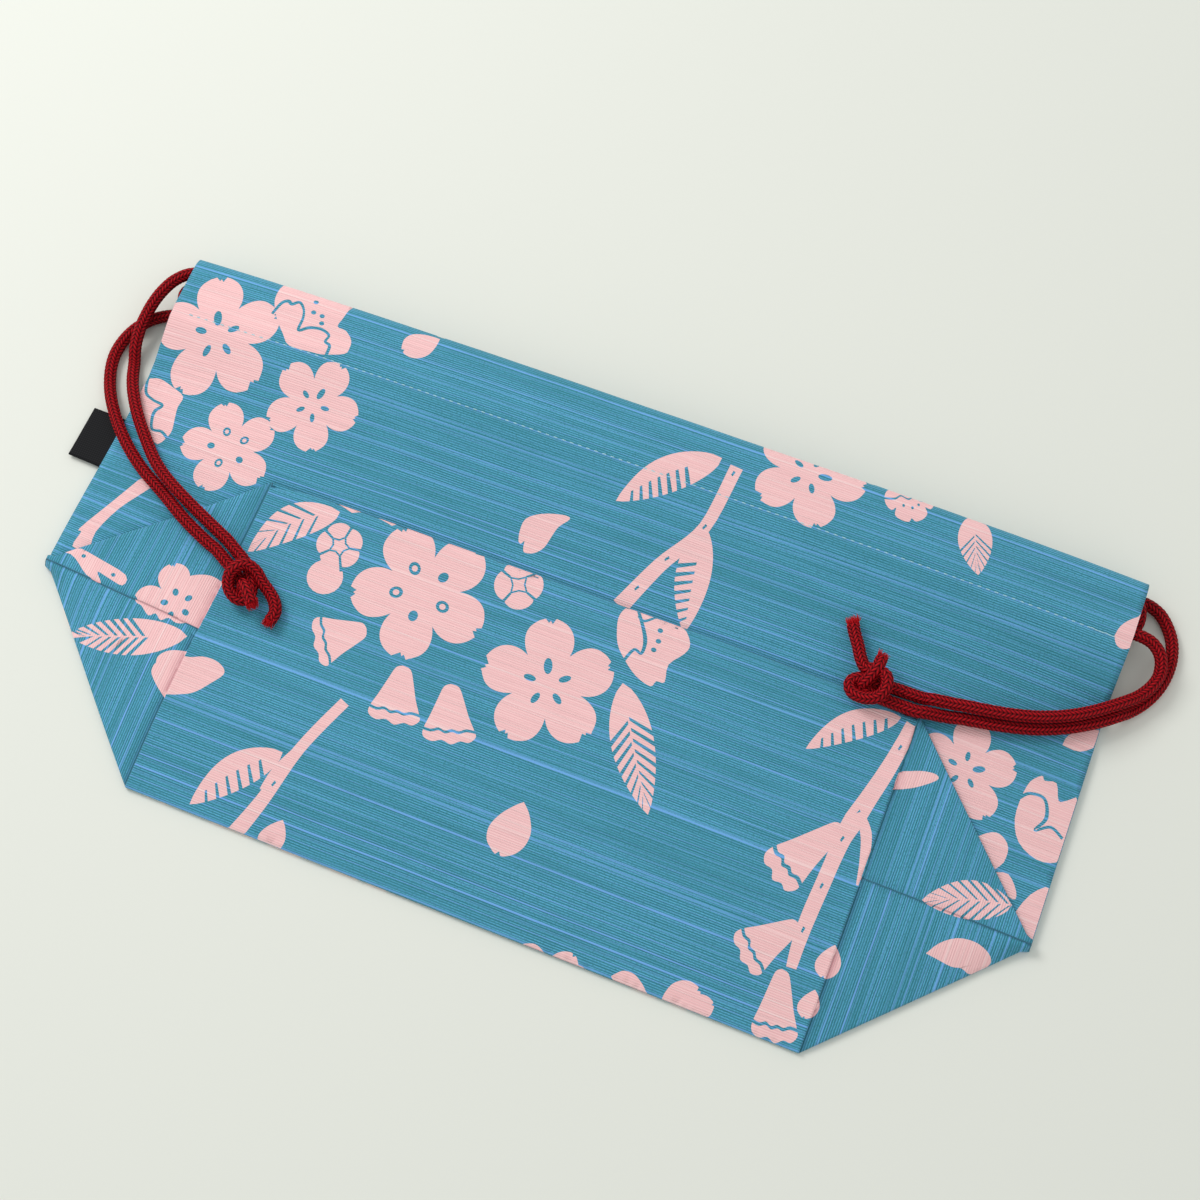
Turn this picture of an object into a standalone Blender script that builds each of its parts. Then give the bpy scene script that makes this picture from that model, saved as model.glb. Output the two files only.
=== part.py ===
"""Drawstring lunch bag with a boxed bottom, lying flat, folded the way it is ironed.

Metres, +Z up. X runs across the bag and Y from the bottom fold towards the mouth. The
cloth is one folded sheet: the back panel lies on the table, the front panel lies on it,
and the bottom is folded up over the front panel as a flat box with two triangular ends.
Two drawcords run through the casings at the mouth, one knotted on each side.
"""

import math

import bmesh
import bpy
from mathutils import Vector

# The bag
bottom_width = 0.228
bottom_depth = 0.112
bag_height = 0.180
cloth = 0.0006

# The drawcords and the clearance between pieces that touch
cord_diameter = 0.004
seat_gap = 0.0003

# How finely a free strand is followed, and how sharply it bends over what it lies on
strand_step = 0.0057
strand_bend = 0.020

# The mouth
casing_depth = 0.022
hem_allowance = 0.002
hem_set_back = 0.010
cut_hem = 0.0018
slit_length = 0.047
upper_lane = 0.0045
lower_lane = 0.0190
nose_length = 0.005
mouth_opening_side = 0.0004
mouth_opening_middle = 0.0048

# How thick the folded cloth lies, between the middles of two layers
side_lift = 0.0020
valley_lift = 0.0055
fold_spacing = 0.00095
bottom_fold = 0.0012
bottom_loft = 0.0006
tip_bluntness = 0.0015
pillow_power = 3.5
rise_power = 2.4

# How the soft bag lies out of square
mouth_skew = 0.0023
left_tip_pull = 0.0044
left_tip_reach = 0.050
top_fold_draw = 0.0022

# The label in the left seam
label_width = 0.0205
label_reach = 0.0120
label_from_mouth = 0.0635
label_ply = 0.0003
label_inside = 0.004

# The sewing
stitch_length = 0.0030
stitch_pitch = 0.0050
stitch_width = 0.0006
stitch_thickness = 0.0003
stitch_float = 0.00005
stitch_bump = 0.00045
bump_flat = 0.0008
bump_reach = 0.0020
bar_tack = 0.009
thread_inset = 0.006

half_width = (bottom_width + bottom_depth) / 2
half_bottom = bottom_width / 2
tip_height = bottom_depth / 2
stitch_row = bag_height - casing_depth
between_stitches = (stitch_length + stitch_pitch) / 2
casing_wall = cord_diameter + 2 * seat_gap + cloth
back_hem = cloth / 2 + casing_wall
cord_rise = cloth / 2 + seat_gap + cord_diameter / 2


def ease(value, low, high):
    """Goes smoothly from 0 at low to 1 at high."""
    share = min(max((value - low) / (high - low), 0.0), 1.0)
    return share * share * (3 - 2 * share)


def pillow(x):
    """1 along the middle of the bag and 0 at its side seams."""
    return 1 - min(abs(x) / half_width, 1.0) ** pillow_power


def front_hem(x):
    """Height of the front casing's inner ply."""
    opening = mouth_opening_side + (mouth_opening_middle - mouth_opening_side) * pillow(x)
    return back_hem + cloth + opening


def back_height(y):
    """Height of the back panel, which lifts a little over its row of stitches."""
    near = 1 - ease(abs(y - stitch_row), bump_flat, bump_reach)
    return cloth / 2 + stitch_bump * near


def front_height(x, y):
    """Height of the front panel between the valley fold and the mouth."""
    casing = front_hem(0) + casing_wall
    climb = max(y - tip_height, 0) / (stitch_row - tip_height)
    middle = valley_lift + (casing - valley_lift) * min(climb, 1.0) ** rise_power
    at_slit = ease(y, bag_height - slit_length, stitch_row + hem_allowance)
    at_seam = cloth / 2 + side_lift
    side = at_seam + (front_hem(half_width) + casing_wall - at_seam) * at_slit
    return side + (middle - side) * pillow(x)


def past_bottom(x):
    """How far x lies beyond the rectangle of the bottom, up to the blunt tip."""
    return min(max(abs(x) - half_bottom, 0), tip_height - tip_bluntness)


def bottom_height(x, y):
    """Height of the bottom, folded up over the front panel."""
    over_front = front_height(x, max(y, tip_height)) + 2 * fold_spacing
    top = over_front + bottom_loft * pillow(x)
    low = past_bottom(x)
    if y >= tip_height:
        return top
    start = cloth / 2 + bottom_fold
    share = min(max((y - low) / (tip_height - low), 0), 1)
    return start + (top - start) * math.sin(share * math.pi / 2)


def bag_top(x, y):
    """Height of whatever cloth lies on top at x, y, or of the table outside the bag."""
    low, edge = past_bottom(x), cloth / 2
    if abs(x) > half_width or y > bag_height + edge or y < low - edge:
        return 0.0
    if y <= bottom_depth - low + edge:
        return bottom_height(x, y) + cloth / 2
    return front_height(x, y) + cloth / 2


def as_laid(x, y):
    """Moves a point from the squared-up bag to where the soft bag really lies."""
    skew = mouth_skew * x / half_width * y / bag_height
    beyond = max(-x - half_bottom, 0) / tip_height
    near_tip = math.exp(-(((y - tip_height) / left_tip_reach) ** 2))
    pull = left_tip_pull * min(beyond, 1.3) * near_tip
    at_fold = math.exp(-(((y - bottom_depth) / tip_height) ** 2))
    draw = top_fold_draw * at_fold * (1 - ease(x, -half_width, half_bottom))
    return x - pull * 0.4 + draw * (1 - min(beyond, 1.0)), y + skew + pull


def squared(x, y):
    """The point of the squared-up bag that as_laid moves to x, y."""
    at_x, at_y = x, y
    for _ in range(4):
        laid_x, laid_y = as_laid(at_x, at_y)
        at_x, at_y = at_x + x - laid_x, at_y + y - laid_y
    return at_x, at_y


# Sections through the folded cloth, as the middle line of the sheet


def spread(start, end, steps):
    """Evenly spaced values from start to end, without the end."""
    return [start + (end - start) * i / steps for i in range(steps)]


def turn(edge, way, low, high, reach, steps, low_reach=None):
    """Points of a fold from height low to height high, its tip at edge."""
    middle, half = (low + high) / 2, (high - low) / 2
    points = []
    for i in range(steps + 1):
        angle = math.pi * i / steps
        length = reach if low_reach is None or angle > math.pi / 2 else low_reach
        points.append((edge - way * length * (1 - math.sin(angle)), middle - half * math.cos(angle)))
    return points


def hem_line(hemmed):
    """Places along a hem, which draws back to the mouth where a side slit begins."""
    if hemmed:
        return spread(stitch_row - hem_allowance, bag_height - nose_length, 3)
    return spread(bag_height - 2 * cut_hem, bag_height - cut_hem, 3)


def section(x):
    """The sheet's middle line at x, as (y, z), from the front hem round to the back hem."""
    hemmed = abs(x) < half_width - hem_set_back
    inside = nose_length if hemmed else cut_hem
    low_y = past_bottom(x)
    tuck = fold_spacing / 2
    casing = front_height(x, bag_height)

    line = [(y, front_hem(x)) for y in hem_line(hemmed)]
    line += turn(bag_height, 1, front_hem(x), casing, nose_length, 6, inside)
    fold_back = spread(bag_height - 2 * nose_length, stitch_row - hem_allowance, 2)
    slope = spread(stitch_row - hem_allowance, bag_height - slit_length, 4)
    under = spread(bag_height - slit_length, tip_height, 6)
    line += [(y, front_height(x, y)) for y in fold_back + slope + under]

    lower = front_height(x, tip_height)
    line += turn(tip_height - tuck, -1, lower, lower + fold_spacing, tuck, 4)
    inner = bottom_depth - low_y - tuck
    for y in spread(tip_height, inner, 4)[1:]:
        line.append((y, front_height(x, y) + fold_spacing))
    lower = front_height(x, inner) + fold_spacing
    line += turn(inner + tuck, 1, lower, bottom_height(x, inner), tuck, 4)
    line += [(y, bottom_height(x, y)) for y in spread(inner, tip_height, 4)[1:] + [tip_height]]

    edge = bottom_fold / 2
    outer = low_y + edge
    for share in (0.8, 0.6, 0.42, 0.26, 0.12):
        y = outer + (tip_height - outer) * share
        line.append((y, bottom_height(x, y)))
    line += reversed(turn(low_y, -1, cloth / 2, bottom_height(x, outer), edge, 4))

    floor_stops = spread(outer, stitch_row - 2 * bump_reach, 4)[1:]
    bump = [-bump_reach, -bump_flat, bump_flat, bump_reach, 4 * bump_reach]
    floor_stops += [stitch_row + along for along in bump]
    line += [(y, back_height(y)) for y in floor_stops]
    nose = turn(bag_height, 1, cloth / 2, back_hem, nose_length, 6)
    if not hemmed:
        nose = nose[:4] + turn(bag_height, 1, back_hem, cloth / 2, nose_length, 6, inside)[2::-1]
    line += nose
    line += [(y, back_hem) for y in reversed(hem_line(hemmed))]
    return line


def stations():
    """Places across the bag where its section is taken."""
    hem_stop = half_width - hem_set_back
    half = spread(0, half_bottom, 5) + spread(half_bottom, hem_stop - cut_hem / 2, 4)
    half += [hem_stop - cut_hem / 2, hem_stop + cut_hem / 2]
    half += [half_width - hem_set_back / 2, half_width]
    return [-x for x in reversed(half[1:])] + half


def offset_line(line, distance):
    """Moves a line of (y, z) points sideways by distance, to the left of its direction."""
    moved = []
    for i, (y, z) in enumerate(line):
        before, after = line[max(i - 1, 0)], line[min(i + 1, len(line) - 1)]
        along = Vector((after[0] - before[0], after[1] - before[1])).normalized()
        moved.append((y - along.y * distance, z + along.x * distance))
    return moved


def finish(name, bm, colour, roughness):
    """Makes a named object of the mesh, with its own material."""
    bmesh.ops.recalc_face_normals(bm, faces=bm.faces)
    mesh = bpy.data.meshes.new(name)
    bm.to_mesh(mesh)
    bm.free()
    part = bpy.data.objects.new(name, mesh)
    bpy.context.scene.collection.objects.link(part)
    paint(part, colour, roughness)
    return part


def paint(part, colour, roughness):
    """Gives a part its own plain material."""
    material = bpy.data.materials.new(part.name)
    material.use_nodes = True
    shader = material.node_tree.nodes["Principled BSDF"]
    shader.inputs["Base Color"].default_value = (*colour, 1)
    shader.inputs["Roughness"].default_value = roughness
    shader.inputs["Metallic"].default_value = 0.0
    part.data.materials.append(material)


# Colours, as linear values
cloth_blue = (0.055, 0.225, 0.330)
cord_crimson = (0.210, 0.006, 0.012)
label_black = (0.012, 0.012, 0.013)
thread_aqua = (0.330, 0.560, 0.620)


def box(bm, low, high):
    """Adds a block between two corners."""
    made = bmesh.ops.create_cube(bm, size=1)
    middle = [(a + b) / 2 for a, b in zip(low, high)]
    size = [b - a for a, b in zip(low, high)]
    bmesh.ops.scale(bm, vec=size, verts=made["verts"])
    bmesh.ops.translate(bm, vec=middle, verts=made["verts"])
    return made["verts"]


def lay(bm):
    """Moves a mesh made for the squared-up bag to where the bag really lies."""
    for vert in bm.verts:
        vert.co.x, vert.co.y = as_laid(vert.co.x, vert.co.y)


def side_seam(name, side, low, high):
    """A closed strip that joins front and back along a side, cut to unite with the cloth."""
    bm = bmesh.new()
    outer = side * (half_width - cloth * 0.1)
    inner = side * (half_width - cloth * 1.1)
    bottom, top = cloth * 0.4, side_lift + cloth * 0.6
    box(bm, (min(inner, outer), low, bottom), (max(inner, outer), high, top))
    steps = 6
    for i in range(1, steps):
        y = low + (high - low) * i / steps
        whole = bm.verts[:] + bm.edges[:] + bm.faces[:]
        bmesh.ops.bisect_plane(bm, geom=whole, plane_co=(0, y, 0), plane_no=(0, 1, 0))
    lay(bm)
    strip = finish(name, bm, cloth_blue, 0.8)
    strip.hide_render = True
    strip.display_type = "WIRE"
    return strip


def make_cloth():
    """The whole bag as one folded sheet with its side seams closed."""
    bm = bmesh.new()
    rings = []
    for x in stations():
        line = section(x)
        outline = offset_line(line, cloth / 2) + offset_line(line, -cloth / 2)[::-1]
        rings.append([bm.verts.new((*as_laid(x, y), z)) for y, z in outline])
    count = len(rings[0])
    for a, b in zip(rings, rings[1:]):
        for i in range(count):
            j = (i + 1) % count
            bm.faces.new((a[i], a[j], b[j], b[i]))
    for ring in (rings[0], rings[-1]):
        for i in range(count // 2 - 1):
            bm.faces.new((ring[i], ring[i + 1], ring[count - 2 - i], ring[count - 1 - i]))
    bag = finish("bag_cloth", bm, cloth_blue, 0.8)

    seam_low = tip_height - tip_bluntness
    seam_high = bag_height - slit_length
    label_high = bag_height - label_from_mouth
    label_low = label_high - label_width
    right = side_seam("right_seam_strip", 1, seam_low, seam_high)
    lower = side_seam("left_seam_strip_low", -1, seam_low, label_low - seat_gap)
    upper = side_seam("left_seam_strip_high", -1, label_high + seat_gap, seam_high)
    for strip in (right, lower, upper):
        cut = bag.modifiers.new(strip.name, "BOOLEAN")
        cut.operation = "UNION"
        cut.solver = "EXACT"
        cut.object = strip
    return bag


def make_label():
    """A folded woven label, its two ends caught in the left side seam."""
    high = bag_height - label_from_mouth
    low = high - label_width
    seam = -half_width
    inside, fold = seam + label_inside, seam - label_reach
    floor = cloth + seat_gap
    bend = label_ply
    line = [(inside, floor + label_ply / 2), (seam, floor + label_ply / 2)]
    line += [(fold + bend + (seam - fold) * 0.5, floor + label_ply / 2)]
    middle = floor + label_ply / 2 + bend
    for i in range(7):
        angle = math.pi * i / 6
        line.append((fold + bend - bend * math.sin(angle), middle - bend * math.cos(angle)))
    line += [(fold + bend + (seam - fold) * 0.5, middle + bend)]
    line += [(seam, middle + bend), (inside, middle + bend)]
    outline = offset_line(line, label_ply / 2) + offset_line(line, -label_ply / 2)[::-1]
    bm = bmesh.new()
    ends = [[bm.verts.new((x, y, z)) for x, z in outline] for y in (low, high)]
    count = len(outline)
    for i in range(count):
        j = (i + 1) % count
        bm.faces.new((ends[0][i], ends[0][j], ends[1][j], ends[1][i]))
    for ring in ends:
        for i in range(count // 2 - 1):
            bm.faces.new((ring[i], ring[i + 1], ring[count - 2 - i], ring[count - 1 - i]))
    lay(bm)
    return finish("side_label", bm, label_black, 0.7)


def thread_section(x, thick, on_front):
    """The four corners of the thread at x, full size at a stitch and thin between two."""
    across = stitch_width / 2 * (1 if thick else 0.5)
    tall = stitch_thickness * (1 if thick else 0.4)
    if on_front:
        low = front_height(x, stitch_row) + cloth / 2 + 2 * stitch_float
        high = low + tall
    else:
        high = back_height(stitch_row) - cloth / 2 - stitch_float
        low = high - tall
    left, right = stitch_row - across, stitch_row + across
    return [(left, low), (right, low), (right, high), (left, high)]


def make_stitches(name, on_front):
    """The thread that closes a casing, with a bar tack at its right end."""
    reach = half_width - thread_inset
    bm = bmesh.new()
    rings = []
    x = -reach
    while x < reach - bar_tack:
        for at, thick in ((x, True), (x + stitch_length, True), (x + between_stitches, False)):
            rings.append((at, thick))
        x += stitch_pitch
    rings += [(reach - bar_tack + stitch_pitch, True), (reach, True)]
    loops = []
    for at, thick in rings:
        corners = thread_section(at, thick, on_front)
        loops.append([bm.verts.new((at, y, z)) for y, z in corners])
    for a, b in zip(loops, loops[1:]):
        for i in range(4):
            j = (i + 1) % 4
            bm.faces.new((a[i], a[j], b[j], b[i]))
    bm.faces.new(loops[0])
    bm.faces.new(loops[-1])
    lay(bm)
    return finish(name, bm, thread_aqua, 0.6)


# The drawcords. Each list follows one strand from its casing's open end to its knot. The
# numbers are in cord diameters: out from the bag's side, down from its mouth, and the least
# height of the strand's middle. A strand lies higher wherever the bag, the label or another
# strand is in its way.

left_front_strand = [
    (-1.00, 1.70, 2.38), (0.45, 2.10, 2.25), (1.50, 3.30, 2.17), (2.10, 5.00, 2.00),
    (2.40, 6.85, 1.25), (2.25, 9.35, 0), (1.25, 12.25, 0), (-0.55, 15.02, 0),
    (-2.65, 17.35, 0), (-4.70, 19.25, 0), (-7.05, 20.70, 0), (-9.65, 21.90, 0),
    (-12.20, 23.00, 0),
]
left_back_strand = [
    (-1.00, 5.25, 0.72), (0.45, 5.55, 0.70), (2.00, 6.40, 0.50), (3.20, 7.95, 0),
    (3.75, 10.50, 0), (3.00, 13.25, 0), (1.20, 15.85, 0), (-1.05, 18.10, 0),
    (-3.50, 19.90, 0), (-6.30, 21.40, 0), (-8.85, 22.90, 0), (-11.40, 24.05, 0),
]
right_back_strand = [
    (-1.00, 0.62, 0.72), (0.60, 0.35, 0.70), (2.15, 1.00, 0.50), (3.45, 2.85, 0),
    (3.80, 5.35, 0), (3.05, 8.05, 0), (1.10, 10.50, 0), (-1.65, 12.65, 0),
    (-4.60, 14.20, 0), (-7.65, 15.15, 0), (-10.65, 15.80, 0), (-13.15, 16.45, 0),
]
right_front_strand = [
    (-1.00, 4.15, 2.38), (0.45, 3.85, 2.25), (1.80, 4.05, 2.05), (2.75, 4.95, 1.50),
    (3.05, 6.35, 1.00), (2.35, 8.10, 0), (0.60, 9.95, 0), (-2.05, 12.03, 0),
    (-4.88, 13.50, 0), (-7.85, 14.42, 0), (-10.75, 14.95, 0), (-13.15, 15.35, 0),
]

# Each knot: its place in from the bag's side and down from its mouth, in cord diameters, and
# the way that its strands run into it, in degrees
left_knot_place, left_knot_heading = (16.4, 26.4), -28
right_knot_place, right_knot_heading = (18.55, 16.0), 184

# The two strands inside each knot, in cord diameters along the way in, across it and up
left_knot_strands = [
    [
        (-2.75, 1.10, 0), (-1.50, 1.05, 0.10), (-0.30, 0.65, 0.30), (0.70, 0.05, 0.35),
        (1.15, -0.75, 0.25), (0.60, -1.40, 0.30), (-0.35, -1.40, 0.60), (-1.05, -0.80, 1.00),
        (-1.20, 0.05, 1.35), (-0.90, 0.85, 1.25), (-0.05, 1.15, 0.90), (0.90, 1.00, 0.55),
        (1.90, 0.95, 0.30), (2.80, 0.75, 0.20), (3.50, 0.25, 0.10), (3.80, -0.50, 0.10),
    ],
    [
        (-2.75, -0.08, 0), (-1.50, -0.10, 0.05), (-0.30, -0.35, 0.10), (0.50, -0.75, 0.30),
        (0.20, -0.30, 0.90), (1.00, -0.45, 1.30), (2.00, -0.75, 1.10),
    ],
]
right_knot_strands = [
    [
        (-2.75, 1.03, 0), (-1.50, 0.95, 0.05), (-0.40, 0.80, 0.10), (0.50, 0.45, 0.30),
        (0.20, -0.10, 0.90), (-0.20, -0.95, 1.35), (-0.35, -1.95, 1.10),
    ],
    [
        (-2.75, -0.17, 0), (-1.50, -0.17, 0.10), (-0.20, -0.10, 0.30), (0.90, -0.10, 0.30),
        (1.50, 0.45, 0.30), (1.15, 1.20, 0.35), (0.10, 1.45, 0.60), (-0.90, 1.15, 1.00),
        (-1.30, 0.30, 1.35), (-1.00, -0.60, 1.30), (-0.10, -0.95, 0.90), (0.65, -1.05, 0.50),
        (1.20, -1.70, 0.40), (1.70, -2.70, 0.35), (2.20, -3.60, 0.30), (2.55, -4.30, 0.30),
    ],
]


def on_table(side, point):
    """A strand's point in metres, from its list's numbers."""
    out, down, up = (value * cord_diameter for value in point)
    return Vector((side * (half_width + out), bag_height - down, up))


def label_top(x, y):
    """Height of the label at x, y on the squared-up bag, or 0 where there is none."""
    high = bag_height - label_from_mouth
    along = high - label_width < y < high
    across = -half_width - label_reach < x < -half_width
    return cloth + seat_gap + 4 * label_ply if along and across else 0.0


def resting(x, y):
    """Height of a cord's middle where it lies on the bag, the label or the table."""
    reach = cord_diameter / 2 + 1.6 * seat_gap
    height = cord_diameter / 2
    for ring in (0.0, 0.35, 0.65, 0.85, 1.0):
        for i in range(12 if ring else 1):
            angle = math.tau * i / 12
            at_x, at_y = x + ring * reach * math.cos(angle), y + ring * reach * math.sin(angle)
            at = squared(at_x, at_y)
            top = max(bag_top(*at), label_top(*at))
            if top > 0:
                height = max(height, top + reach * math.sqrt(1 - ring * ring))
    return height


def over_strand(x, y, laid):
    """The least height of a cord's middle that clears a strand laid before it."""
    reach = cord_diameter + 2 * seat_gap
    height = 0.0
    for a, b in zip(laid, laid[1:]):
        way = Vector((b.x - a.x, b.y - a.y))
        share = (Vector((x - a.x, y - a.y)).dot(way)) / max(way.length_squared, 1e-12)
        share = min(max(share, 0.0), 1.0)
        near = a.lerp(b, share)
        aside = math.hypot(x - near.x, y - near.y)
        if aside < reach:
            height = max(height, near.z + math.sqrt(reach * reach - aside * aside))
    return height


def lay_strand(route, below):
    """Points of a strand from its casing to its knot, lying on whatever is under it."""
    points = smooth_points(route, strand_step)
    side = half_width + strand_step
    out = next(i for i, point in enumerate(points) if abs(point.x) > side)
    heights = []
    for i, point in enumerate(points):
        height = point.z
        if i >= out:
            height = max(height, resting(point.x, point.y), over_strand(point.x, point.y, below))
        heights.append(height)
    laid = []
    for i, point in enumerate(points):
        height = heights[i]
        if out <= i < len(points) - 1:
            for other in range(out, len(points)):
                away = (other - i) * strand_step
                height = max(height, heights[other] - away * away / (2 * strand_bend))
        laid.append(Vector((point.x, point.y, height)))
    return laid


def lane(x, from_mouth, on_front):
    """A point of a cord inside its casing."""
    z = front_hem(x) + cord_rise if on_front else cord_rise + cloth / 2
    return (*as_laid(x, bag_height - from_mouth), z)


def casing_run(side, from_mouth, on_front):
    """A cord's points through one casing, starting near the given side."""
    reach = half_width - hem_set_back
    steps = 10
    return [lane(side * reach * (1 - 2 * i / steps), from_mouth, on_front) for i in range(steps + 1)]


def turn_back(side, top_on_front):
    """The bend where a cord goes from one casing to the other at a side slit."""
    high_z = front_hem(half_width) + cord_rise
    low_z = cord_rise + cloth / 2
    drop = lower_lane - upper_lane
    radius = math.hypot(drop, high_z - low_z) / 2
    centre_x = half_width + 0.001 - radius
    points = []
    for i in range(9):
        angle = math.pi * i / 8
        share = (1 + math.cos(angle)) / 2
        y = bag_height - lower_lane + drop * share
        z = low_z + (high_z - low_z) * (share if top_on_front else 1 - share)
        x = side * (centre_x + radius * math.sin(angle))
        points.append((*as_laid(x, y), z))
    return points


def smooth_points(route, spacing):
    """Points at an even spacing on a smooth curve through the route."""
    ends = [route[0]] + list(route) + [route[-1]]
    knots = [Vector(p) for p in ends]
    fine = []
    for i in range(1, len(knots) - 2):
        a, b, c, d = knots[i - 1 : i + 3]
        for step in range(12):
            t = step / 12
            point = 2 * b + (c - a) * t + (2 * a - 5 * b + 4 * c - d) * t * t
            point += (3 * b - a - 3 * c + d) * t * t * t
            fine.append(point / 2)
    fine.append(knots[-2])
    length = sum((b - a).length for a, b in zip(fine, fine[1:]))
    count = max(round(length / spacing), 2)
    picked, walked, index = [fine[0]], 0.0, 1
    for k in range(1, count):
        goal = length * k / count
        while walked + (fine[index] - fine[index - 1]).length < goal:
            walked += (fine[index] - fine[index - 1]).length
            index += 1
        step = fine[index] - fine[index - 1]
        picked.append(fine[index - 1] + step * ((goal - walked) / step.length))
    picked.append(fine[-1])
    return picked


def tube(name, splines, resolution):
    """A round cord along one or more lists of points, with closed ends."""
    curve = bpy.data.curves.new(name, "CURVE")
    curve.dimensions = "3D"
    curve.bevel_depth = cord_diameter / 2
    curve.bevel_resolution = resolution
    curve.use_fill_caps = True
    curve.render_resolution_u = 0
    for points in splines:
        spline = curve.splines.new("POLY")
        spline.points.add(len(points) - 1)
        for point, place in zip(spline.points, points):
            point.co = (*place, 1)
        spline.use_smooth = True
    cord = bpy.data.objects.new(name, curve)
    bpy.context.scene.collection.objects.link(cord)
    return cord


def knot_point(side, place, heading, local):
    """A point of a knot, from its own directions to the table's."""
    along, across, up = (value * cord_diameter for value in local)
    turned = math.radians(heading)
    x = side * (half_width - place[0] * cord_diameter)
    y = bag_height - place[1] * cord_diameter
    x += along * math.cos(turned) - across * math.sin(turned)
    y += along * math.sin(turned) + across * math.cos(turned)
    return x, y, up


def knot_floor(side, place, heading, strands):
    """The height that lets the whole knot lie clear on the bag."""
    lift = 0.0
    for strand in strands:
        for local in strand:
            x, y, up = knot_point(side, place, heading, local)
            lift = max(lift, resting(x, y) - up)
    return lift


def make_knot(name, side, place, heading, strands):
    """The cord's two ends tied in one overhand knot, as a single closed shape."""
    lift = knot_floor(side, place, heading, strands)
    splines = []
    for strand in strands:
        points = []
        for local in strand:
            x, y, up = knot_point(side, place, heading, local)
            points.append((x, y, up + lift))
        splines.append(smooth_points(points, cord_diameter / 3))
    guide = tube(name + "_guide", splines, 2)
    rough = bpy.data.meshes.new_from_object(guide.evaluated_get(bpy.context.evaluated_depsgraph_get()))
    bpy.data.objects.remove(guide)
    knot = bpy.data.objects.new(name, rough)
    bpy.context.scene.collection.objects.link(knot)
    skin = knot.modifiers.new("Skin", "REMESH")
    skin.mode = "VOXEL"
    skin.voxel_size = cord_diameter / 3.6
    bpy.context.view_layer.update()
    solid = bpy.data.meshes.new_from_object(knot.evaluated_get(bpy.context.evaluated_depsgraph_get()))
    bpy.data.objects.remove(knot)
    bm = bmesh.new()
    bm.from_mesh(solid)
    keep_outer_skin(bm)
    knot = finish(name, bm, cord_crimson, 0.55)
    knot.data.shade_smooth()
    return knot


def keep_outer_skin(bm):
    """Removes any small closed pocket between the strands, leaving the largest shell."""
    unseen = set(bm.verts)
    shells = []
    while unseen:
        stack = [unseen.pop()]
        shell = []
        while stack:
            vert = stack.pop()
            shell.append(vert)
            for edge in vert.link_edges:
                other = edge.other_vert(vert)
                if other in unseen:
                    unseen.remove(other)
                    stack.append(other)
        shells.append(shell)
    shells.sort(key=len)
    for shell in shells[:-1]:
        bmesh.ops.delete(bm, geom=shell, context="VERTS")


def knot_entry(side, place, heading, strands, index):
    """Where a strand stops, a small gap short of the knot's own cut face."""
    lift = Vector((0, 0, knot_floor(side, place, heading, strands)))
    first, second = [
        Vector(knot_point(side, place, heading, strands[index][i])) + lift for i in (0, 1)
    ]
    back = (first - second).normalized()
    end = first + back * (seat_gap + cord_diameter / 7)
    return [end + back * cord_diameter, end]


def make_cord(name, side, strands, knot, front_first):
    """A drawcord: from its knot through one casing, back through the other, to the knot."""
    out_run = casing_run(side, upper_lane, front_first)
    home_run = casing_run(-side, lower_lane, not front_first)
    bend = turn_back(-side, front_first)
    starts = (out_run[0], home_run[-1])
    laid = [[], []]
    lowest_first = (1, 0) if front_first else (0, 1)
    for index in lowest_first:
        plan = [on_table(side, point) for point in strands[index]]
        route = [Vector(starts[index])] + plan + knot_entry(*knot, index)
        laid[index] = lay_strand(route, laid[1 - index])
    points = laid[0][::-1] + out_run[1:] + bend + home_run[:-1] + laid[1]
    print(name, "points", len(points))
    cord = tube(name, [points], 2)
    paint(cord, cord_crimson, 0.55)
    return cord


def centre_on_origin():
    """Puts the origin under the middle of the bag, measured without its cords."""
    bpy.context.view_layer.update()
    depsgraph = bpy.context.evaluated_depsgraph_get()
    corners = []
    for part in bpy.context.scene.objects:
        if part.hide_render or part.type != "MESH" or "knot" in part.name:
            continue
        held = part.evaluated_get(depsgraph)
        corners += [part.matrix_world @ Vector(corner) for corner in held.bound_box]
    low = Vector([min(corner[i] for corner in corners) for i in range(3)])
    high = Vector([max(corner[i] for corner in corners) for i in range(3)])
    middle = (low + high) / 2
    for part in bpy.context.scene.objects:
        part.location = (-middle.x, -middle.y, -low.z)
    print("origin moved by", tuple(middle), low.z)


def build():
    for item in list(bpy.data.objects):
        bpy.data.objects.remove(item)
    make_cloth()
    make_label()
    make_stitches("front_casing_stitching", True)
    make_stitches("back_casing_stitching", False)
    left = (-1, left_knot_place, left_knot_heading, left_knot_strands)
    right = (1, right_knot_place, right_knot_heading, right_knot_strands)
    make_knot("left_knot", *left)
    make_knot("right_knot", *right)
    make_cord("left_drawcord", -1, (left_front_strand, left_back_strand), left, True)
    make_cord("right_drawcord", 1, (right_back_strand, right_front_strand), right, False)
    centre_on_origin()


build()
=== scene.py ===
# %% [markdown]
# # A drawstring lunch bag, lying flat
# The bag is a sheet of striped cotton, printed with blossom, folded flat and sewn. It has two
# braided cords, two rows of stitches and a label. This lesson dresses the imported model, so
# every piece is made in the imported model's own frame, in metres.

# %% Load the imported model
import math
import random

import bmesh
import bpy
from mathutils import Matrix, Vector
from mathutils.geometry import delaunay_2d_cdt


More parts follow.
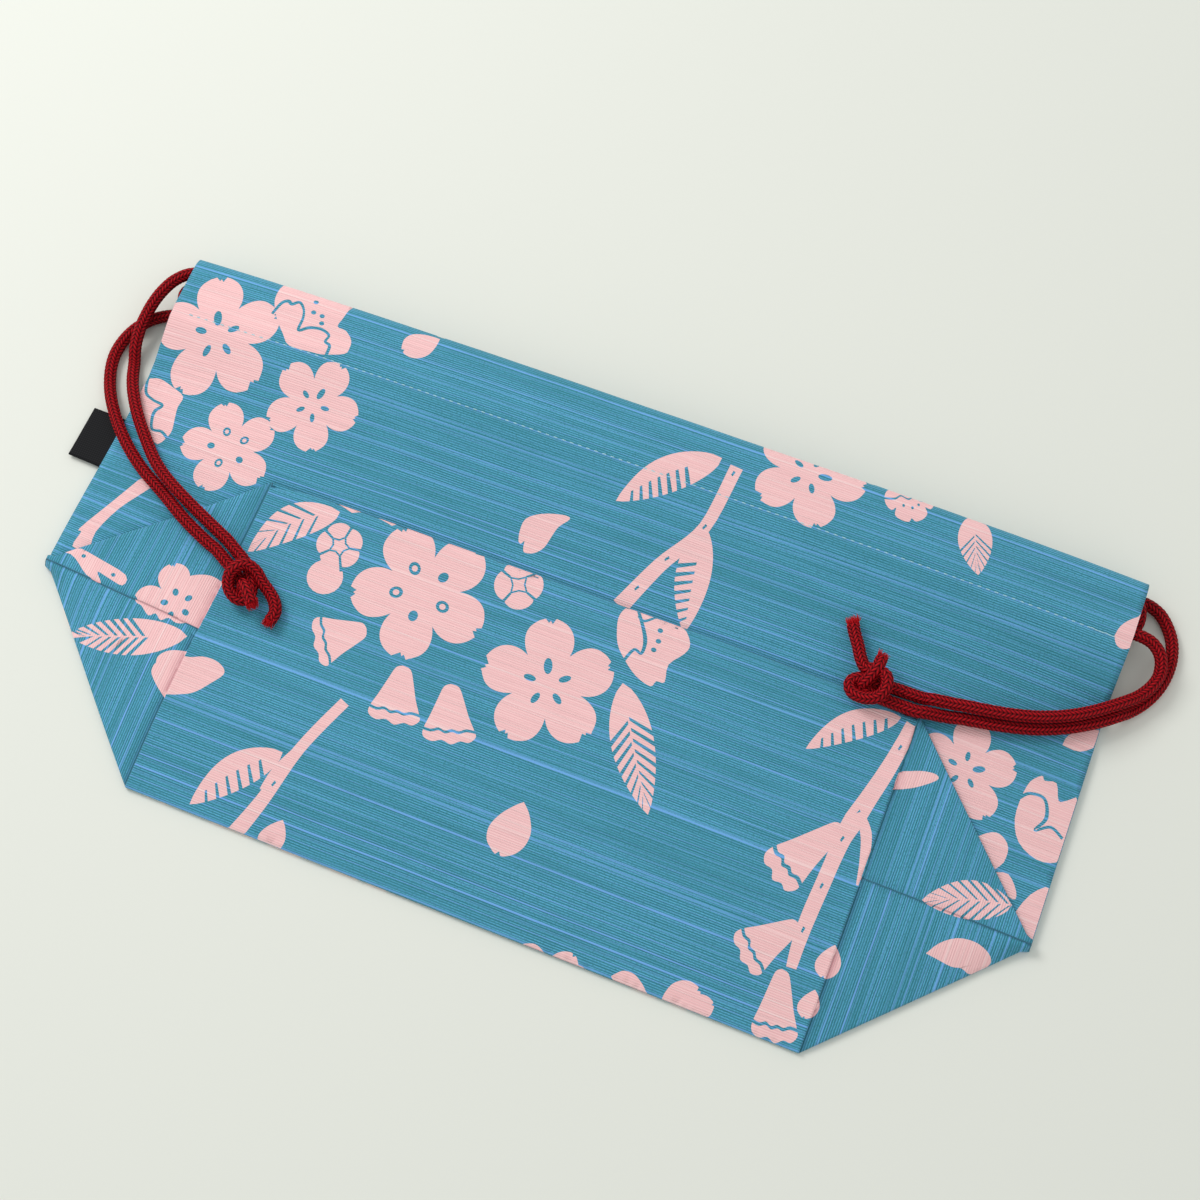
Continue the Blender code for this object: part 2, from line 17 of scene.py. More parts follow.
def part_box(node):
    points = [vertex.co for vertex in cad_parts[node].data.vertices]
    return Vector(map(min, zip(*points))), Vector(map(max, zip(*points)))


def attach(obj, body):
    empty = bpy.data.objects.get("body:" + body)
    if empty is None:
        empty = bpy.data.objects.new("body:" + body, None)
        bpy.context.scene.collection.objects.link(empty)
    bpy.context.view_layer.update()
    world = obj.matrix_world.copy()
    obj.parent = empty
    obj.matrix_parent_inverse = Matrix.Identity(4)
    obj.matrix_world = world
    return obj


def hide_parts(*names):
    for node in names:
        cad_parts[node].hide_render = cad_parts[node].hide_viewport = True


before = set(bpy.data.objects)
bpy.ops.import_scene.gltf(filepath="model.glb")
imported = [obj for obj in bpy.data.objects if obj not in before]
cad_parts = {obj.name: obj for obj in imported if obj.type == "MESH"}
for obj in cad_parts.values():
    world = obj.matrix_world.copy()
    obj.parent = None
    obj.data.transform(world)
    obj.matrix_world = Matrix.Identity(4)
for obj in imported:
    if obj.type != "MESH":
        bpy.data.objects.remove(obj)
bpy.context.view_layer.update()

chance = random.Random(7)
print("CAD nodes:", sorted(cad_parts))

# %% [markdown]
# ## The bag's own measures
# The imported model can't be asked how a fold was drawn, so the measures that shaped the sheet
# are written again here, with the same names. The bag is first worked out squared up, with
# its bottom fold on y = 0 and its middle on x = 0, and is moved into the frame at the end.

# %% Measures in metres
bottom_width, bottom_depth, bag_height, cloth = 0.228, 0.112, 0.180, 0.0006
cord_diameter, seat_gap = 0.004, 0.0003
strand_step, strand_bend = 0.0057, 0.020
casing_depth, hem_allowance, hem_set_back, cut_hem = 0.022, 0.002, 0.010, 0.0018
slit_length, upper_lane, lower_lane, nose_length = 0.047, 0.0045, 0.0190, 0.005
mouth_opening_side, mouth_opening_middle = 0.0004, 0.0048
side_lift, valley_lift, fold_spacing, bottom_fold = 0.0020, 0.0055, 0.00095, 0.0012
bottom_loft, tip_bluntness, pillow_power, rise_power = 0.0006, 0.0015, 3.5, 2.4
mouth_skew, left_tip_pull, left_tip_reach, top_fold_draw = 0.0023, 0.0044, 0.050, 0.0022
label_width, label_reach, label_from_mouth, label_ply = 0.0205, 0.0120, 0.0635, 0.0003
label_inside = 0.004
stitch_bump, bump_flat, bump_reach, thread_inset, bar_tack = 0.00045, 0.0008, 0.0020, 0.006, 0.009

half_width = (bottom_width + bottom_depth) / 2
half_bottom = bottom_width / 2
tip_height = bottom_depth / 2
stitch_row = bag_height - casing_depth
casing_wall = cord_diameter + 2 * seat_gap + cloth
back_hem = cloth / 2 + casing_wall
cord_rise = cloth / 2 + seat_gap + cord_diameter / 2

cloth_low, cloth_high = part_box("bag_cloth")
into_frame = Vector((cloth_high[0] - half_width, cloth_low[1] + cloth / 2, 0))
print("bag stands in the frame at", tuple(round(v, 5) for v in into_frame))

# %% [markdown]
# ## How high the cloth lies
# The folded sheet is thickest in its middle and flat at its side seams. The layers could be
# draped by a simulation, but an ironed bag has sharp folds that a simulation rounds off. So a
# few height rules say where each layer lies, and cords and stitches rest on the same rules.

# %% Heights of the layers


def ease(value, low, high):
    """Goes smoothly from 0 at low to 1 at high."""
    share = min(max((value - low) / (high - low), 0.0), 1.0)
    return share * share * (3 - 2 * share)


def pillow(x):
    """1 along the middle of the bag and 0 at its side seams."""
    return 1 - min(abs(x) / half_width, 1.0) ** pillow_power


def front_hem(x):
    """Height of the front casing's inner ply."""
    opening = mouth_opening_side + (mouth_opening_middle - mouth_opening_side) * pillow(x)
    return back_hem + cloth + opening


def back_height(y):
    """Height of the back panel, which lifts a little over its row of stitches."""
    near = 1 - ease(abs(y - stitch_row), bump_flat, bump_reach)
    return cloth / 2 + stitch_bump * near


def front_height(x, y):
    """Height of the front panel between the valley fold and the mouth."""
    casing = front_hem(0) + casing_wall
    climb = max(y - tip_height, 0) / (stitch_row - tip_height)
    middle = valley_lift + (casing - valley_lift) * min(climb, 1.0) ** rise_power
    at_slit = ease(y, bag_height - slit_length, stitch_row + hem_allowance)
    at_seam = cloth / 2 + side_lift
    side = at_seam + (front_hem(half_width) + casing_wall - at_seam) * at_slit
    return side + (middle - side) * pillow(x)


def past_bottom(x):
    """How far x lies beyond the rectangle of the bottom, up to the blunt tip."""
    return min(max(abs(x) - half_bottom, 0), tip_height - tip_bluntness)


def bottom_height(x, y):
    """Height of the bottom, folded up over the front panel."""
    over_front = front_height(x, max(y, tip_height)) + 2 * fold_spacing
    top = over_front + bottom_loft * pillow(x)
    low = past_bottom(x)
    if y >= tip_height:
        return top
    start = cloth / 2 + bottom_fold
    share = min(max((y - low) / (tip_height - low), 0), 1)
    return start + (top - start) * math.sin(share * math.pi / 2)


def bag_top(x, y):
    """Height of whatever cloth lies on top at x, y, or of the table outside the bag."""
    low, edge = past_bottom(x), cloth / 2
    if abs(x) > half_width or y > bag_height + edge or y < low - edge:
        return 0.0
    if y <= bottom_depth - low + edge:
        return bottom_height(x, y) + cloth / 2
    return front_height(x, y) + cloth / 2


def as_laid(x, y):
    """Moves a point from the squared-up bag to where the soft bag really lies."""
    skew = mouth_skew * x / half_width * y / bag_height
    beyond = max(-x - half_bottom, 0) / tip_height
    near_tip = math.exp(-(((y - tip_height) / left_tip_reach) ** 2))
    pull = left_tip_pull * min(beyond, 1.3) * near_tip
    at_fold = math.exp(-(((y - bottom_depth) / tip_height) ** 2))
    draw = top_fold_draw * at_fold * (1 - ease(x, -half_width, half_bottom))
    return x - pull * 0.4 + draw * (1 - min(beyond, 1.0)), y + skew + pull


def squared(x, y):
    """The point of the squared-up bag that as_laid moves to x, y."""
    at_x, at_y = x, y
    for _ in range(4):
        laid_x, laid_y = as_laid(at_x, at_y)
        at_x, at_y = at_x + x - laid_x, at_y + y - laid_y
    return at_x, at_y


print("cloth in the middle lies up to", round(bag_top(0, stitch_row) * 1000, 1), "mm high")

# %% [markdown]
# ## Helpers for materials
# A material is a small graph of nodes. Its nodes could be added and linked one line at a time,
# but that hides what the graph does. These helpers add a node with its inputs in one call.

# %% Small helpers for material nodes


def add(tree, kind, inputs=None, **settings):
    """Adds a node, sets its own settings, then fills or links its inputs."""
    made = tree.nodes.new(kind)
    for name, value in settings.items():
        setattr(made, name, value)
    for name, value in (inputs or {}).items():
        if isinstance(value, bpy.types.NodeSocket):
            tree.links.new(value, made.inputs[name])
        else:
            made.inputs[name].default_value = value
    return made


def sum_of(tree, operation, first, second=0.0, third=0.0, clamp=False):
    """One Math node's result."""
    values = {0: first, 1: second, 2: third}
    return add(tree, "ShaderNodeMath", values, operation=operation, use_clamp=clamp).outputs[0]


def between(tree, value, low, high, start=0.0, end=1.0):
    """Maps a value smoothly from low and high to start and end."""
    values = {"Value": value, "From Min": low, "From Max": high, "To Min": start, "To Max": end}
    made = add(tree, "ShaderNodeMapRange", values, interpolation_type="SMOOTHSTEP")
    return made.outputs["Result"]


def mixed(tree, share, first, second, blend="MIX"):
    """Mixes two colours by a share."""
    made = add(tree, "ShaderNodeMix", data_type="RGBA", blend_type=blend)
    for index, value in ((0, share), (6, first), (7, second)):
        if isinstance(value, bpy.types.NodeSocket):
            tree.links.new(value, made.inputs[index])
        elif index:
            made.inputs[index].default_value = (*value, 1)
        else:
            made.inputs[index].default_value = value
    return made.outputs[2]


def new_material(name):
    """A material with only its Principled shader, and the tree to build in."""
    material = bpy.data.materials.new(name)
    material.use_nodes = True
    return material, material.node_tree, material.node_tree.nodes["Principled BSDF"]


def new_group(name, takes, gives):
    """An empty node group with named inputs and outputs."""
    tree = bpy.data.node_groups.new(name, "ShaderNodeTree")
    for label, kind, value in takes:
        socket = tree.interface.new_socket(label, in_out="INPUT", socket_type=kind)
        if value is not None:
            socket.default_value = value
    for label in gives:
        tree.interface.new_socket(label, in_out="OUTPUT", socket_type="NodeSocketFloat")
    return tree, tree.nodes.new("NodeGroupInput").outputs, tree.nodes.new("NodeGroupOutput").inputs


print("helpers:", [helper.__name__ for helper in (add, sum_of, between, mixed, new_group)])

# %% [markdown]
# ## The camera, the floor and the light
# The bag was photographed from above and a little from below the bottom fold. The camera is
# set by the three directions of its frame, which leaves no doubt about its roll. The light is
# one soft lamp from the upper left of the picture in a pale room, a plain studio set-up that
# shows a colour about as it is written.

# %% Camera
camera_data = bpy.data.cameras.new("camera")
camera_data.lens, camera_data.sensor_width = 60, 36
camera_data.clip_start, camera_data.clip_end = 0.01, 20
camera = bpy.data.objects.new("camera", camera_data)
bpy.context.scene.collection.objects.link(camera)
camera_right = Vector((0.93061, 0.36602, 0.00199)).normalized()
camera_up = Vector((-0.34444, 0.87387, 0.34309)).normalized()
camera_back = camera_right.cross(camera_up)
camera_place = Vector((0.08559, -0.09685, 0.62187)) + into_frame
turned = Matrix((camera_right, camera_up, camera_back)).transposed()
camera.matrix_world = Matrix.Translation(camera_place) @ turned.to_4x4()
bpy.context.scene.camera = camera
print("camera at", tuple(round(v, 4) for v in camera_place))

# %% Floor
floor_mesh = bpy.data.meshes.new("table_top")
bm = bmesh.new()
bmesh.ops.create_grid(bm, x_segments=2, y_segments=2, size=3)
bm.to_mesh(floor_mesh)
bm.free()
table_top = bpy.data.objects.new("table_top", floor_mesh)
bpy.context.scene.collection.objects.link(table_top)
table_finish, tree, shader = new_material("pale_table")
table_colour = (0.775, 0.78, 0.715, 1)
shader.inputs["Base Color"].default_value = table_colour
shader.inputs["Roughness"].default_value = 0.9
shader.inputs["Specular IOR Level"].default_value = 0.2
floor_mesh.materials.append(table_finish)
print("table top's colour:", table_colour[:3])


# %% Light
def soft_lamp(name, place, towards, size, power):
    """A square lamp that faces a point."""
    lamp = bpy.data.lights.new(name, "AREA")
    lamp.shape, lamp.size, lamp.energy = "SQUARE", size, power
    made = bpy.data.objects.new(name, lamp)
    bpy.context.scene.collection.objects.link(made)
    made.location = place
    made.rotation_euler = (Vector(towards) - Vector(place)).to_track_quat("-Z", "Y").to_euler()
    return made


lamp_place, lamp_width, lamp_power = (-0.85, 0.42, 0.95), 0.55, 8.8
room_strength = 0.70
soft_lamp("window_light", lamp_place, (0, 0, 0), lamp_width, lamp_power)
surroundings = bpy.data.worlds.new("pale_room")
surroundings.use_nodes = True
room = surroundings.node_tree.nodes["Background"]
room.inputs["Color"].default_value = (0.97, 1.0, 1.0, 1)
room.inputs["Strength"].default_value = room_strength
bpy.context.scene.world = surroundings
bpy.context.scene.view_settings.view_transform = "Standard"
print("lamp of", lamp_power, "W, room light at", room_strength)

# %% [markdown]
# ## Where the cords run
# Each drawcord is one loop of soft braid: out of its knot, through one casing, round at the
# far slit, back through the other casing and into the knot again. The numbers of each free
# strand are in cord diameters, out from the bag's side, down from its mouth and up.

# %% Routes of the free strands
left_front_strand = [
    (-1.00, 1.70, 2.38), (0.45, 2.10, 2.25), (1.50, 3.30, 2.17), (2.10, 5.00, 2.00),
    (2.40, 6.85, 1.25), (2.25, 9.35, 0), (1.25, 12.25, 0), (-0.55, 15.02, 0),
    (-2.65, 17.35, 0), (-4.70, 19.25, 0), (-7.05, 20.70, 0), (-9.65, 21.90, 0),
    (-12.20, 23.00, 0),
]
left_back_strand = [
    (-1.00, 5.25, 0.72), (0.45, 5.55, 0.70), (2.00, 6.40, 0.50), (3.20, 7.95, 0),
    (3.75, 10.50, 0), (3.00, 13.25, 0), (1.20, 15.85, 0), (-1.05, 18.10, 0),
    (-3.50, 19.90, 0), (-6.30, 21.40, 0), (-8.85, 22.90, 0), (-11.40, 24.05, 0),
]
right_back_strand = [
    (-1.00, 0.62, 0.72), (0.60, 0.35, 0.70), (2.15, 1.00, 0.50), (3.45, 2.85, 0),
    (3.80, 5.35, 0), (3.05, 8.05, 0), (1.10, 10.50, 0), (-1.65, 12.65, 0),
    (-4.60, 14.20, 0), (-7.65, 15.15, 0), (-10.65, 15.80, 0), (-13.15, 16.45, 0),
]
right_front_strand = [
    (-1.00, 4.15, 2.38), (0.45, 3.85, 2.25), (1.80, 4.05, 2.05), (2.75, 4.95, 1.50),
    (3.05, 6.35, 1.00), (2.35, 8.10, 0), (0.60, 9.95, 0), (-2.05, 12.03, 0),
    (-4.88, 13.50, 0), (-7.85, 14.42, 0), (-10.75, 14.95, 0), (-13.15, 15.35, 0),
]

free_strands = (left_front_strand, left_back_strand, right_back_strand, right_front_strand)
print("points on the free strands:", [len(strand) for strand in free_strands])

# %% Routes inside the knots
left_knot_place, left_knot_heading = (16.4, 26.4), -28
right_knot_place, right_knot_heading = (18.55, 16.0), 184
left_knot_strands = [
    [
        (-2.75, 1.10, 0), (-1.50, 1.05, 0.10), (-0.30, 0.65, 0.30), (0.70, 0.05, 0.35),
        (1.15, -0.75, 0.25), (0.60, -1.40, 0.30), (-0.35, -1.40, 0.60), (-1.05, -0.80, 1.00),
        (-1.20, 0.05, 1.35), (-0.90, 0.85, 1.25), (-0.05, 1.15, 0.90), (0.90, 1.00, 0.55),
        (1.90, 0.95, 0.30), (2.80, 0.75, 0.20), (3.50, 0.25, 0.10), (3.80, -0.50, 0.10),
    ],
    [
        (-2.75, -0.08, 0), (-1.50, -0.10, 0.05), (-0.30, -0.35, 0.10), (0.50, -0.75, 0.30),
        (0.20, -0.30, 0.90), (1.00, -0.45, 1.30), (2.00, -0.75, 1.10),
    ],
]
right_knot_strands = [
    [
        (-2.75, 1.03, 0), (-1.50, 0.95, 0.05), (-0.40, 0.80, 0.10), (0.50, 0.45, 0.30),
        (0.20, -0.10, 0.90), (-0.20, -0.95, 1.35), (-0.35, -1.95, 1.10),
    ],
    [
        (-2.75, -0.17, 0), (-1.50, -0.17, 0.10), (-0.20, -0.10, 0.30), (0.90, -0.10, 0.30),
        (1.50, 0.45, 0.30), (1.15, 1.20, 0.35), (0.10, 1.45, 0.60), (-0.90, 1.15, 1.00),
        (-1.30, 0.30, 1.35), (-1.00, -0.60, 1.30), (-0.10, -0.95, 0.90), (0.65, -1.05, 0.50),
        (1.20, -1.70, 0.40), (1.70, -2.70, 0.35), (2.20, -3.60, 0.30), (2.55, -4.30, 0.30),
    ],
]

print("points inside the knots:", [len(s) for s in left_knot_strands + right_knot_strands])

# %% [markdown]
# ## How a cord lies on what is under it
# A limp cord rests on the cloth, the label, the table and any strand below it. Its middle is
# therefore one radius above the highest thing that a ball of its size would touch, and it
# eases up to a high place over a few diameters instead of bending sharply. A curve drawn by
# hand would float or sink somewhere, so its height is worked out from what is under it.

# %% What lies under a cord


def on_table(side, point):
    """A strand's point in metres, from its list's numbers."""
    out, down, up = (value * cord_diameter for value in point)
    return Vector((side * (half_width + out), bag_height - down, up))


def label_top(x, y):
    """Height of the label at x, y on the squared-up bag, or 0 where there is none."""
    high = bag_height - label_from_mouth
    along = high - label_width < y < high
    across = -half_width - label_reach < x < -half_width
    return cloth + seat_gap + 4 * label_ply if along and across else 0.0


def resting(x, y):
    """Height of a cord's middle where it lies on the bag, the label or the table."""
    reach = cord_diameter / 2 + 1.6 * seat_gap
    height = cord_diameter / 2
    for ring in (0.0, 0.35, 0.65, 0.85, 1.0):
        for i in range(12 if ring else 1):
            angle = math.tau * i / 12
            at_x, at_y = x + ring * reach * math.cos(angle), y + ring * reach * math.sin(angle)
            at = squared(at_x, at_y)
            top = max(bag_top(*at), label_top(*at))
            if top > 0:
                height = max(height, top + reach * math.sqrt(1 - ring * ring))
    return height


def over_strand(x, y, laid):
    """The least height of a cord's middle that clears a strand laid before it."""
    reach = cord_diameter + 2 * seat_gap
    height = 0.0
    for a, b in zip(laid, laid[1:]):
        way = Vector((b.x - a.x, b.y - a.y))
        share = (Vector((x - a.x, y - a.y)).dot(way)) / max(way.length_squared, 1e-12)
        near = a.lerp(b, min(max(share, 0.0), 1.0))
        aside = math.hypot(x - near.x, y - near.y)
        if aside < reach:
            height = max(height, near.z + math.sqrt(reach * reach - aside * aside))
    return height


print("on the front casing a cord's middle is", round(resting(0, stitch_row) * 1000, 1), "mm up")

# %% Smooth lines


def smooth_line(points, steps):
    """A smooth open line through some points, with a number of steps between two of them."""
    ends = [Vector(p) for p in [points[0]] + list(points) + [points[-1]]]
    line = []
    for i in range(1, len(ends) - 2):
        a, b, c, d = ends[i - 1 : i + 3]
        for step in range(steps):
            t = step / steps
            point = 2 * b + (c - a) * t + (2 * a - 5 * b + 4 * c - d) * t * t
            line.append((point + (3 * b - a - 3 * c + d) * t * t * t) / 2)
    return line + [ends[-2]]


def smooth_points(route, spacing):
    """Points at an even spacing on a smooth curve through the route."""
    fine = smooth_line(route, 12)
    length = sum((b - a).length for a, b in zip(fine, fine[1:]))
    count = max(round(length / spacing), 2)
    picked, walked, index = [fine[0]], 0.0, 1
    for k in range(1, count):
        goal = length * k / count
        while walked + (fine[index] - fine[index - 1]).length < goal:
            walked += (fine[index] - fine[index - 1]).length
            index += 1
        step = fine[index] - fine[index - 1]
        picked.append(fine[index - 1] + step * ((goal - walked) / step.length))
    picked.append(fine[-1])
    return picked


diameters = len(smooth_points(left_front_strand, 1.0)) - 1
print("the left front strand is about", diameters, "cord diameters long")

# %% Laying a strand


def lay_strand(route, below):
    """Points of a strand from its casing to its knot, lying on whatever is under it."""
    points = smooth_points(route, strand_step)
    out = next(i for i, point in enumerate(points) if abs(point.x) > half_width + strand_step)
    heights = []
    for i, point in enumerate(points):
        height = point.z
        if i >= out:
            height = max(height, resting(point.x, point.y), over_strand(point.x, point.y, below))
        heights.append(height)
    laid = []
    for i, point in enumerate(points):
        height = heights[i]
        if out <= i < len(points) - 1:
            for other in range(out, len(points)):
                away = (other - i) * strand_step
                height = max(height, heights[other] - away * away / (2 * strand_bend))
        laid.append(Vector((point.x, point.y, height)))
    return laid


print("a strand bends up with a radius of", strand_bend * 1000, "mm or more")


# %% Runs inside the casings


def lane(x, from_mouth, on_front):
    """A point of a cord inside its casing."""
    z = front_hem(x) + cord_rise if on_front else cord_rise + cloth / 2
    return Vector((*as_laid(x, bag_height - from_mouth), z))


def casing_run(side, from_mouth, on_front):
    """A cord's points through one casing, starting near the given side."""
    reach = half_width - hem_set_back
    return [lane(side * reach * (1 - 2 * i / 10), from_mouth, on_front) for i in range(11)]


def turn_back(side, top_on_front):
    """The bend where a cord goes from one casing to the other at a side slit."""
    high_z = front_hem(half_width) + cord_rise
    low_z = cord_rise + cloth / 2
    drop = lower_lane - upper_lane
    radius = math.hypot(drop, high_z - low_z) / 2
    points = []
    for i in range(9):
        angle = math.pi * i / 8
        share = (1 + math.cos(angle)) / 2
        y = bag_height - lower_lane + drop * share
        z = low_z + (high_z - low_z) * (share if top_on_front else 1 - share)
        x = side * (half_width + 0.001 - radius + radius * math.sin(angle))
        points.append(Vector((*as_laid(x, y), z)))
    return points


print("a run has", len(casing_run(1, upper_lane, True)), "points, its turn", len(turn_back(1, True)))


# %% The knots' own places
left_knot = (-1, left_knot_place, left_knot_heading, left_knot_strands)
right_knot = (1, right_knot_place, right_knot_heading, right_knot_strands)


def knot_point(side, place, heading, local):
    """A point of a knot, from its own directions to the table's."""
    along, across, up = (value * cord_diameter for value in local)
    turned = math.radians(heading)
    x = side * (half_width - place[0] * cord_diameter)
    y = bag_height - place[1] * cord_diameter
    x += along * math.cos(turned) - across * math.sin(turned)
    y += along * math.sin(turned) + across * math.cos(turned)
    return Vector((x, y, up))


def knot_lift(side, place, heading, strands):
    """The height that lets the whole knot lie clear on the bag."""
    lift = 0.0
    for strand in strands:
        for local in strand:
            at = knot_point(side, place, heading, local)
            lift = max(lift, resting(at.x, at.y) - at.z)
    return Vector((0, 0, lift))


def knot_entry(knot, index):
    """Where a strand stops, just short of the knot."""
    side, place, heading, strands = knot
    lift = knot_lift(*knot)
    first, second = [knot_point(side, place, heading, strands[index][i]) + lift for i in (0, 1)]
    back = (first - second).normalized()
    return [first + back * (cord_diameter + seat_gap + cord_diameter / 7), first]


print("the knots lie", [round(knot_lift(*knot).z * 1000, 1) for knot in (left_knot, right_knot)], "mm up")

# %% [markdown]
# ## The braid
# The real cord is a hollow tube of crimson yarn, plaited so that rows of small V shapes run
# along it. A bump in the material alone would leave its edge smooth. So a ring of corners is
# swept along the route, and each corner is lifted by the height of the plait there, which
# makes the edge of the cord knobbly as well as its middle.

# %% The plait
plait_pitch = 0.0014
plait_columns = 8
plait_depth = 0.00036
plait_mean, plait_slant = 0.62, 1.15
plait_ridge, plait_bow, plait_round = 0.5, 0.84, 0.6


def plait(along, around):
    """How high the braid stands: 0 in a gap between two plaits and 1 on a plait's back."""
    column = around * plait_columns
    off_middle = column % 1 - 0.5
    way = 1 if int(column) % 2 else -1
    phase = along / plait_pitch + way * off_middle * plait_slant
    ridge = abs(math.sin(math.pi * phase)) ** plait_ridge
    return ridge * math.cos(math.pi * off_middle * plait_bow) ** plait_round


backs = [plait(plait_pitch * i / 20, 0.5 / plait_columns) for i in range(20)]
print("the braid stands from", round(min(backs), 2), "in a gap to", round(max(backs), 2), "on a plait")


# %% Sweeping a braided tube


def carry_on(bm, edges):
    """Extrudes an outline's edges: the new corners, the new outline's edges and the new faces."""
    made = bmesh.ops.extrude_edge_only(bm, edges=edges)["geom"]
    fresh = {item for item in made if isinstance(item, bmesh.types.BMVert)}
    edges = [e for e in made if isinstance(e, bmesh.types.BMEdge) and all(v in fresh for v in e.verts)]
    return fresh, edges, [item for item in made if isinstance(item, bmesh.types.BMFace)]


def next_corner(vert, fresh):
    """The new corner that was extruded from an old one."""
    return next(e.other_vert(vert) for e in vert.link_edges if e.other_vert(vert) in fresh)


def sweep_braid(bm, points, sides, depth):
    """Carries a ring along the points, each corner lifted by the plait that it lies on."""
    skin = bm.loops.layers.uv.verify()
    ring = bmesh.ops.create_circle(bm, segments=sides, radius=cord_diameter / 2)["verts"]
    edges = list({edge for vert in ring for edge in vert.link_edges})
    first_edges = list(edges)
    side_way = Vector((0, 0, 1))
    where, made_faces, walked = {}, [], 0.0
    for i, point in enumerate(points):
        along = (points[min(i + 1, len(points) - 1)] - points[max(i - 1, 0)]).normalized()
        side_way = (side_way - along * side_way.dot(along)).normalized()
        up_way = along.cross(side_way)
        if i:
            walked += (point - points[i - 1]).length
            fresh, edges, faces = carry_on(bm, edges)
            ring = [next_corner(vert, fresh) for vert in ring]
            made_faces += faces
        for spoke, vert in enumerate(ring):
            angle = math.tau * spoke / sides
            reach = cord_diameter / 2 + (plait(walked, spoke / sides) - plait_mean) * depth
            outwards = side_way * math.cos(angle) + up_way * math.sin(angle)
            vert.co = point + into_frame + outwards * reach
            where[vert] = (walked, spoke)
    made_faces += bmesh.ops.edgeloop_fill(bm, edges=first_edges)["faces"]
    made_faces += bmesh.ops.edgeloop_fill(bm, edges=edges)["faces"]
    for face in made_faces:
        spokes = {where[loop.vert][1] for loop in face.loops}
        for loop in face.loops:
            walked, spoke = where[loop.vert]
            wraps = spoke == 0 and sides - 1 in spokes
            loop[skin].uv = (walked, (sides if wraps else spoke) / sides)
    bmesh.ops.recalc_face_normals(bm, faces=made_faces)


# %% Finishing a piece


def finish_piece(bm, name, material, slot, *nodes):
    """Makes a shaded piece of a mesh, on the body and in place of the nodes that it stands for."""
    mesh = bpy.data.meshes.new(name)
    bm.to_mesh(mesh)
    bm.free()
    mesh.shade_smooth()
    mesh.materials.append(material)
    piece = bpy.data.objects.new(name, mesh)
    bpy.context.scene.collection.objects.link(piece)
    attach(piece, "root")
    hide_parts(*nodes)
    return piece


# %% [markdown]
# ## The colour of the braid
# The plaits are seen again in the material: the same V pattern, worked out from the cord's
# own UV map, paints shade into the gaps, paints a highlight on the backs of the plaits and
# raises the bump. Fine lines along each plait stand for the single fibres.

# %% Braid group and material
braid, taken, given = new_group(
    "braid_pattern",
    [("Along", "NodeSocketFloat", None), ("Around", "NodeSocketFloat", None)],
    ["Height", "Fibre", "Gap Shade"],
)
column = sum_of(braid, "MULTIPLY", taken["Around"], plait_columns)
off_middle = sum_of(braid, "SUBTRACT", sum_of(braid, "FRACT", column), 0.5)
odd = sum_of(braid, "FLOOR", sum_of(braid, "MODULO", column, 2.0))
way = sum_of(braid, "MULTIPLY_ADD", odd, 2.0, -1.0)
slant = sum_of(braid, "MULTIPLY", sum_of(braid, "MULTIPLY", way, off_middle), plait_slant)
phase = sum_of(braid, "MULTIPLY_ADD", taken["Along"], 1 / plait_pitch, slant)
wave = sum_of(braid, "ABSOLUTE", sum_of(braid, "SINE", sum_of(braid, "MULTIPLY", phase, math.pi)))
ridge = sum_of(braid, "POWER", wave, plait_ridge)
bow = sum_of(braid, "COSINE", sum_of(braid, "MULTIPLY", off_middle, math.pi * plait_bow))
height = sum_of(braid, "MULTIPLY", ridge, sum_of(braid, "POWER", bow, plait_round))
grain_place = add(braid, "ShaderNodeCombineXYZ", {
    "X": sum_of(braid, "MULTIPLY", phase, 9.0),
    "Y": sum_of(braid, "MULTIPLY", column, 1.3),
    "Z": sum_of(braid, "MULTIPLY", taken["Along"], 150.0),
}).outputs[0]
fibre = add(braid, "ShaderNodeTexNoise", {"Vector": grain_place, "Scale": 1.0, "Detail": 2.0})
# The gap output is the mask of painted shade between the plaits.
for name, value in (
    ("Height", height),
    ("Fibre", fibre.outputs["Fac"]),
    ("Gap Shade", between(braid, height, 0.28, 0.64, 1.0, 0.0)),
):
    braid.links.new(value, given[name])

cord_finish, tree, shader = new_material("crimson_braid")
skin = add(tree, "ShaderNodeSeparateXYZ", {0: add(tree, "ShaderNodeUVMap").outputs[0]})
pattern = add(tree, "ShaderNodeGroup", node_tree=braid)
tree.links.new(skin.outputs["X"], pattern.inputs["Along"])
tree.links.new(skin.outputs["Y"], pattern.inputs["Around"])
# Painted shade darkens the gaps between plaits, and a painted highlight lights the plaits' backs.
deep_red, yarn_red = (0.095, 0.0008, 0.0022), (0.400, 0.005, 0.011)
painted_highlight_red, painted_gap_shade_red = (0.620, 0.010, 0.016), (0.009, 0.0004, 0.0010)
red = mixed(tree, pattern.outputs["Fibre"], deep_red, yarn_red)
painted_glint = between(tree, pattern.outputs["Height"], 0.76, 0.98, 0.0, 0.6)
red = mixed(tree, painted_glint, red, painted_highlight_red)
red = mixed(tree, pattern.outputs["Gap Shade"], red, painted_gap_shade_red)
tree.links.new(red, shader.inputs["Base Color"])
relief = sum_of(tree, "MULTIPLY_ADD", pattern.outputs["Fibre"], 0.25, pattern.outputs["Height"])
bump = add(tree, "ShaderNodeBump", {"Height": relief, "Strength": 1.0, "Distance": 0.00028})
tree.links.new(bump.outputs["Normal"], shader.inputs["Normal"])
shader.inputs["Roughness"].default_value = 0.55
shader.inputs["Specular IOR Level"].default_value = 0.08
print("braid group has", len(braid.nodes), "nodes and the cord's material", len(tree.nodes))
